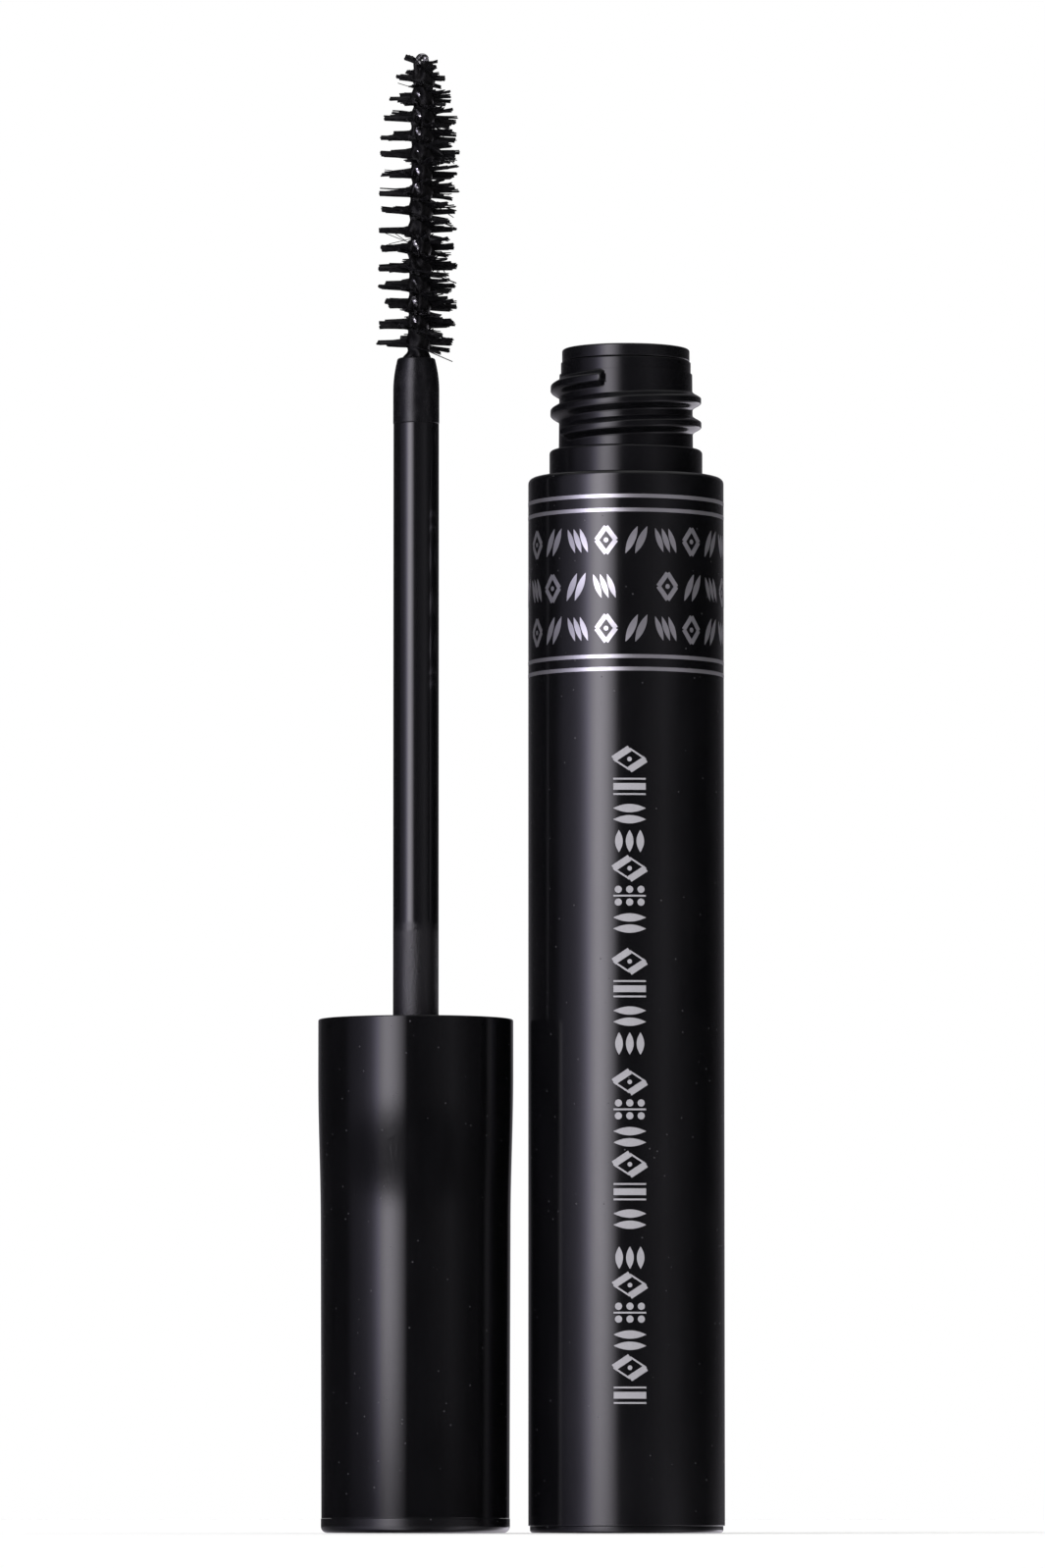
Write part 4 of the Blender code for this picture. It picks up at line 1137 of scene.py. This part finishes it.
def build_bristles():
    """Fibres that the twisted wire holds, gathered into clumps by the mascara."""
    rng = random.Random(SEED)
    tubes = Tubes()
    start = BRISTLE_LOW.z + 0.10 * MM
    end = BRISTLE_HIGH.z
    count = round((end - start) / WIRE_LEAD * FIBRES_PER_TURN)
    tufts = {}
    for step in range(count):
        z = start + (end - start) * (step + rng.random()) / count
        for side in (0, 180):
            own = math.degrees(fibre_angle(z)) + side + rng.gauss(0, 4)
            turn = math.floor((own - 180 + 60) / 360)
            place = own - 180 - 360 * turn
            if (turn, side) not in tufts:
                tufts[(turn, side)] = tuft_clumps(rng)
            clumps = tufts[(turn, side)]
            clump = next((c for c in clumps if c[0] <= place < c[1]), clumps[-1])
            centre, rise, reach_scale, gather = clump[2:]
            off = centre - place
            left = abs(centre) < 40
            gather = min(max(gather + rng.gauss(0, 0.08), 0.1), 0.95)
            if rng.random() < (0.02 if left else 0.08):
                gather = 0.05
            tip_deg = own + off * (0.88 if left else gather)
            tip_z = z - off / 360 * WIRE_LEAD * gather + (rise + rng.gauss(0, 0.05 if left else 0.07)) * MM
            near_tip = max(1 - (WIRE_HIGH.z - z) / TIP_TUFT_LENGTH, 0.0)
            own_rad = math.radians(own)
            tip_rad = math.radians(tip_deg)
            tip_z += near_tip * (0.5 - 0.5 * math.cos(own_rad)) * TIP_TUFT_RISE
            tip_z = min(tip_z, WIRE_HIGH.z - FIBRE_RADIUS)
            reach = brush_radius(z) * reach_scale * (1 + rng.gauss(0, 0.012))
            if rng.random() < (0.35 if left else 0.12):
                reach *= rng.uniform(0.72, 0.98)
            bow = rng.gauss(0, 0.035) * MM
            thickness = FIBRE_RADIUS * (rng.uniform(1.0, 1.35) if left else rng.uniform(0.75, 1.1))
            line = []
            for share, lift, _ in FIBRE_SHAPE:
                r = FIBRE_START + (reach - FIBRE_START) * share
                a = own_rad + (tip_rad - own_rad) * share ** 0.75
                height = z + (tip_z - z) * share ** 0.8 + bow * lift
                line.append(leaned(r * math.cos(a), r * math.sin(a), height))
            tubes.add(line, [thickness * thick for _, _, thick in FIBRE_SHAPE], 4)
    for degrees, z, reach, rise in STRAY_FIBRES:
        a = math.radians(degrees)
        ends = [(0.5 * MM, z), (reach * 0.6, z + rise * 0.5), (reach, z + rise)]
        line = [leaned(r * math.cos(a), r * math.sin(a), height) for r, height in ends]
        tubes.add(line, [STRAY_RADIUS] * 3, 4)
    piece = new_piece("bristle_fibres", tubes.points, tubes.faces, BRISTLE_BLACK, "applicator")
    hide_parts("bristles")


def build_residue():
    """Mascara dried in lumps along the wire and on the ferrule's end, with the wire bare on one side."""
    rng = random.Random(SEED + 1)
    waves = [
        (rng.uniform(0.6, 3.2), rng.randint(1, 4), rng.uniform(0, 6.28)) for _ in range(RESIDUE_WAVES)
    ]
    start = FERRULE_HIGH.z - 0.2 * MM
    end = WIRE_HIGH.z - RESIDUE_BELOW_TIP
    rows, sides = RESIDUE_ROWS, RESIDUE_SIDES
    points = []
    for row in range(rows + 1):
        z = start + (end - start) * row / rows
        root = math.exp(-((z - FERRULE_HIGH.z - 0.1 * MM) / RESIDUE_ROOT_HEIGHT) ** 2)
        thin_tip = min((end - z) / RESIDUE_TIP_TAPER, 1.0)
        shown = min(max(0.5 + 0.9 * math.sin((WIRE_HIGH.z - z) / BARE_WAVE + 0.7), 0.2), 1.0)
        for k in range(sides):
            angle = 2 * math.pi * k / sides
            wave = sum(math.sin(f * z / MM + m * angle + p) for f, m, p in waves) / RESIDUE_WAVES
            bare = shown * math.exp(-(((math.degrees(angle) - BARE_SIDE_DEG) / BARE_HALF_DEG) ** 2))
            r = RESIDUE_RADIUS + RESIDUE_WAVE * wave - BARE_DEPTH * bare
            r += RESIDUE_WOUND * math.cos(2 * (angle - fibre_angle(z)))
            r += RESIDUE_ROOT * root * (1 + wave) + RESIDUE_RIGHT * max(math.cos(angle), 0.0)
            r *= 0.78 + 0.22 * thin_tip
            if row in (0, rows):
                r *= 0.5
            points.append(leaned(r * math.cos(angle), r * math.sin(angle), z))
    rings = [tuple(range(row * sides, (row + 1) * sides)) for row in range(rows + 1)]
    faces = [face for here, there in zip(rings, rings[1:]) for face in quads(here, there)]
    faces += [rings[0][::-1], rings[-1]]
    piece = new_piece("core_residue", points, faces, MASCARA, "applicator")


# ---------------- stage, light and camera

def build_floor():
    """A pale floor. Reflections leave it out, and hold the studio light's lower half instead."""
    n = new_material("floor_white")
    mottle = n.noise(0.02, 2.0)
    tone = n.mixed(mottle, (0.950, 0.958, 0.925), (0.970, 0.978, 0.945))
    material = n.surface(Base_Color=tone, Roughness=0.6, Specular_IOR_Level=0.2)
    turns = [2 * math.pi * k / FLOOR_SIDES for k in range(FLOOR_SIDES)]
    ring = [(FLOOR_RADIUS * math.cos(turn), FLOOR_RADIUS * math.sin(turn), 0.0) for turn in turns]
    mesh = bpy.data.meshes.new("floor")
    mesh.from_pydata(ring, [], [tuple(range(FLOOR_SIDES))])
    mesh.materials.append(material)
    floor_object = bpy.data.objects.new("floor", mesh)
    floor_object.location = (CAP_X / 2, 0.0, -FLOOR_GAP)
    floor_object.visible_glossy = False
    bpy.context.scene.collection.objects.link(floor_object)


def round_light(n, share, stops):
    """A ring of light round the stage. The share is how far round it a ray goes."""
    ramp = n.add("ValToRGB", {"Fac": share})
    elements = ramp.color_ramp.elements
    elements.remove(elements[-1])
    most = max(brightness for _, brightness in stops)
    for index, (degrees, brightness) in enumerate(stops):
        position = degrees / 360 + 0.5
        element = elements[0] if index == 0 else elements.new(position)
        element.position = position
        grey = brightness / most
        green, blue = BLUE_TINT if BLUE_SIDE[0] < degrees < BLUE_SIDE[1] else PALE_TINT
        element.color = (grey, grey * green, grey * blue, 1.0)
    return n.mixed(1.0, ramp.outputs["Color"], (most, most, most), "MULTIPLY")


def build_world():
    """A dark studio with a tall soft light on the left, a faint one on the right and one overhead.

    Below the horizon are the same lights as a pale floor would mirror them, softer and dimmer.
    """
    world = bpy.data.worlds.new("studio")
    bpy.context.scene.world = world
    n = Nodes(world)
    n.tree.nodes.clear()
    x, y, height = n.split("Generated")
    turn = n.maths("ARCTAN2", x, n.maths("MULTIPLY", y, -1.0))
    share = n.maths("ADD", n.maths("DIVIDE", turn, 2 * math.pi), 0.5)
    rays = n.add("LightPath")

    key = n.mixed(1.0, round_light(n, share, KEY_LIGHT), n.ranged(height, 0.55, 0.85, 1.0, 0.0), "MULTIPLY")
    near_floor = n.ranged(height, -0.06, -0.015, 1.0, 0.05)
    dim = n.maths("MULTIPLY", near_floor, n.ranged(height, -0.95, -0.70, 0.15, 1.0))
    mirrored = n.mixed(1.0, round_light(n, share, FLOOR_LIGHT), dim, "MULTIPLY")
    around = n.mixed(n.ranged(height, -0.012, 0.012, 0.0, 1.0), mirrored, key)
    soft = n.maths("SUBTRACT", 1.0, n.maths("MULTIPLY", rays.outputs["Is Glossy Ray"], 0.75))
    above = n.maths("MULTIPLY", n.ranged(height, 0.55, 0.9, 0.0, 2.0), soft)
    total = n.mixed(1.0, around, above, "ADD")
    seen = n.mixed(rays.outputs["Is Camera Ray"], total, (1.0, 1.0, 1.0))
    background = n.add("Background", {"Color": seen})
    n.add("OutputWorld", {"Surface": background.outputs["Background"]})


def build_camera():
    camera = bpy.data.cameras.new("camera")
    camera.sensor_fit = "VERTICAL"
    camera.sensor_height = 36.0
    camera.lens = CAMERA_LENS
    camera.clip_start = 0.01
    camera.clip_end = 20.0
    view = bpy.data.objects.new("camera", camera)
    bpy.context.scene.collection.objects.link(view)
    target = Vector((CAMERA_X, 0.0, CAMERA_AIM_Z))
    view.location = (CAMERA_X, -CAMERA_DISTANCE, CAMERA_Z)
    view.rotation_euler = (target - view.location).to_track_quat("-Z", "Y").to_euler()
    bpy.context.scene.camera = view
    bpy.context.scene.view_settings.view_transform = "Standard"


for build in (
    build_camera, build_world, build_floor, build_sleeve, build_base, build_neck, build_wiper,
    build_foil_rings, build_foil_rows, build_column, build_cap_shell, build_cap_end, build_inner_cap,
    build_stem, build_ferrule, build_wire, build_bristles, build_residue,
):
    build()


def dress(node, material):
    """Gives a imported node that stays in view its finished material."""
    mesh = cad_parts[node].data
    mesh.materials.clear()
    mesh.materials.append(material)


dress("mascara_paste", MASCARA)
dress("seal_gasket", GASKET)

bpy.context.view_layer.update()
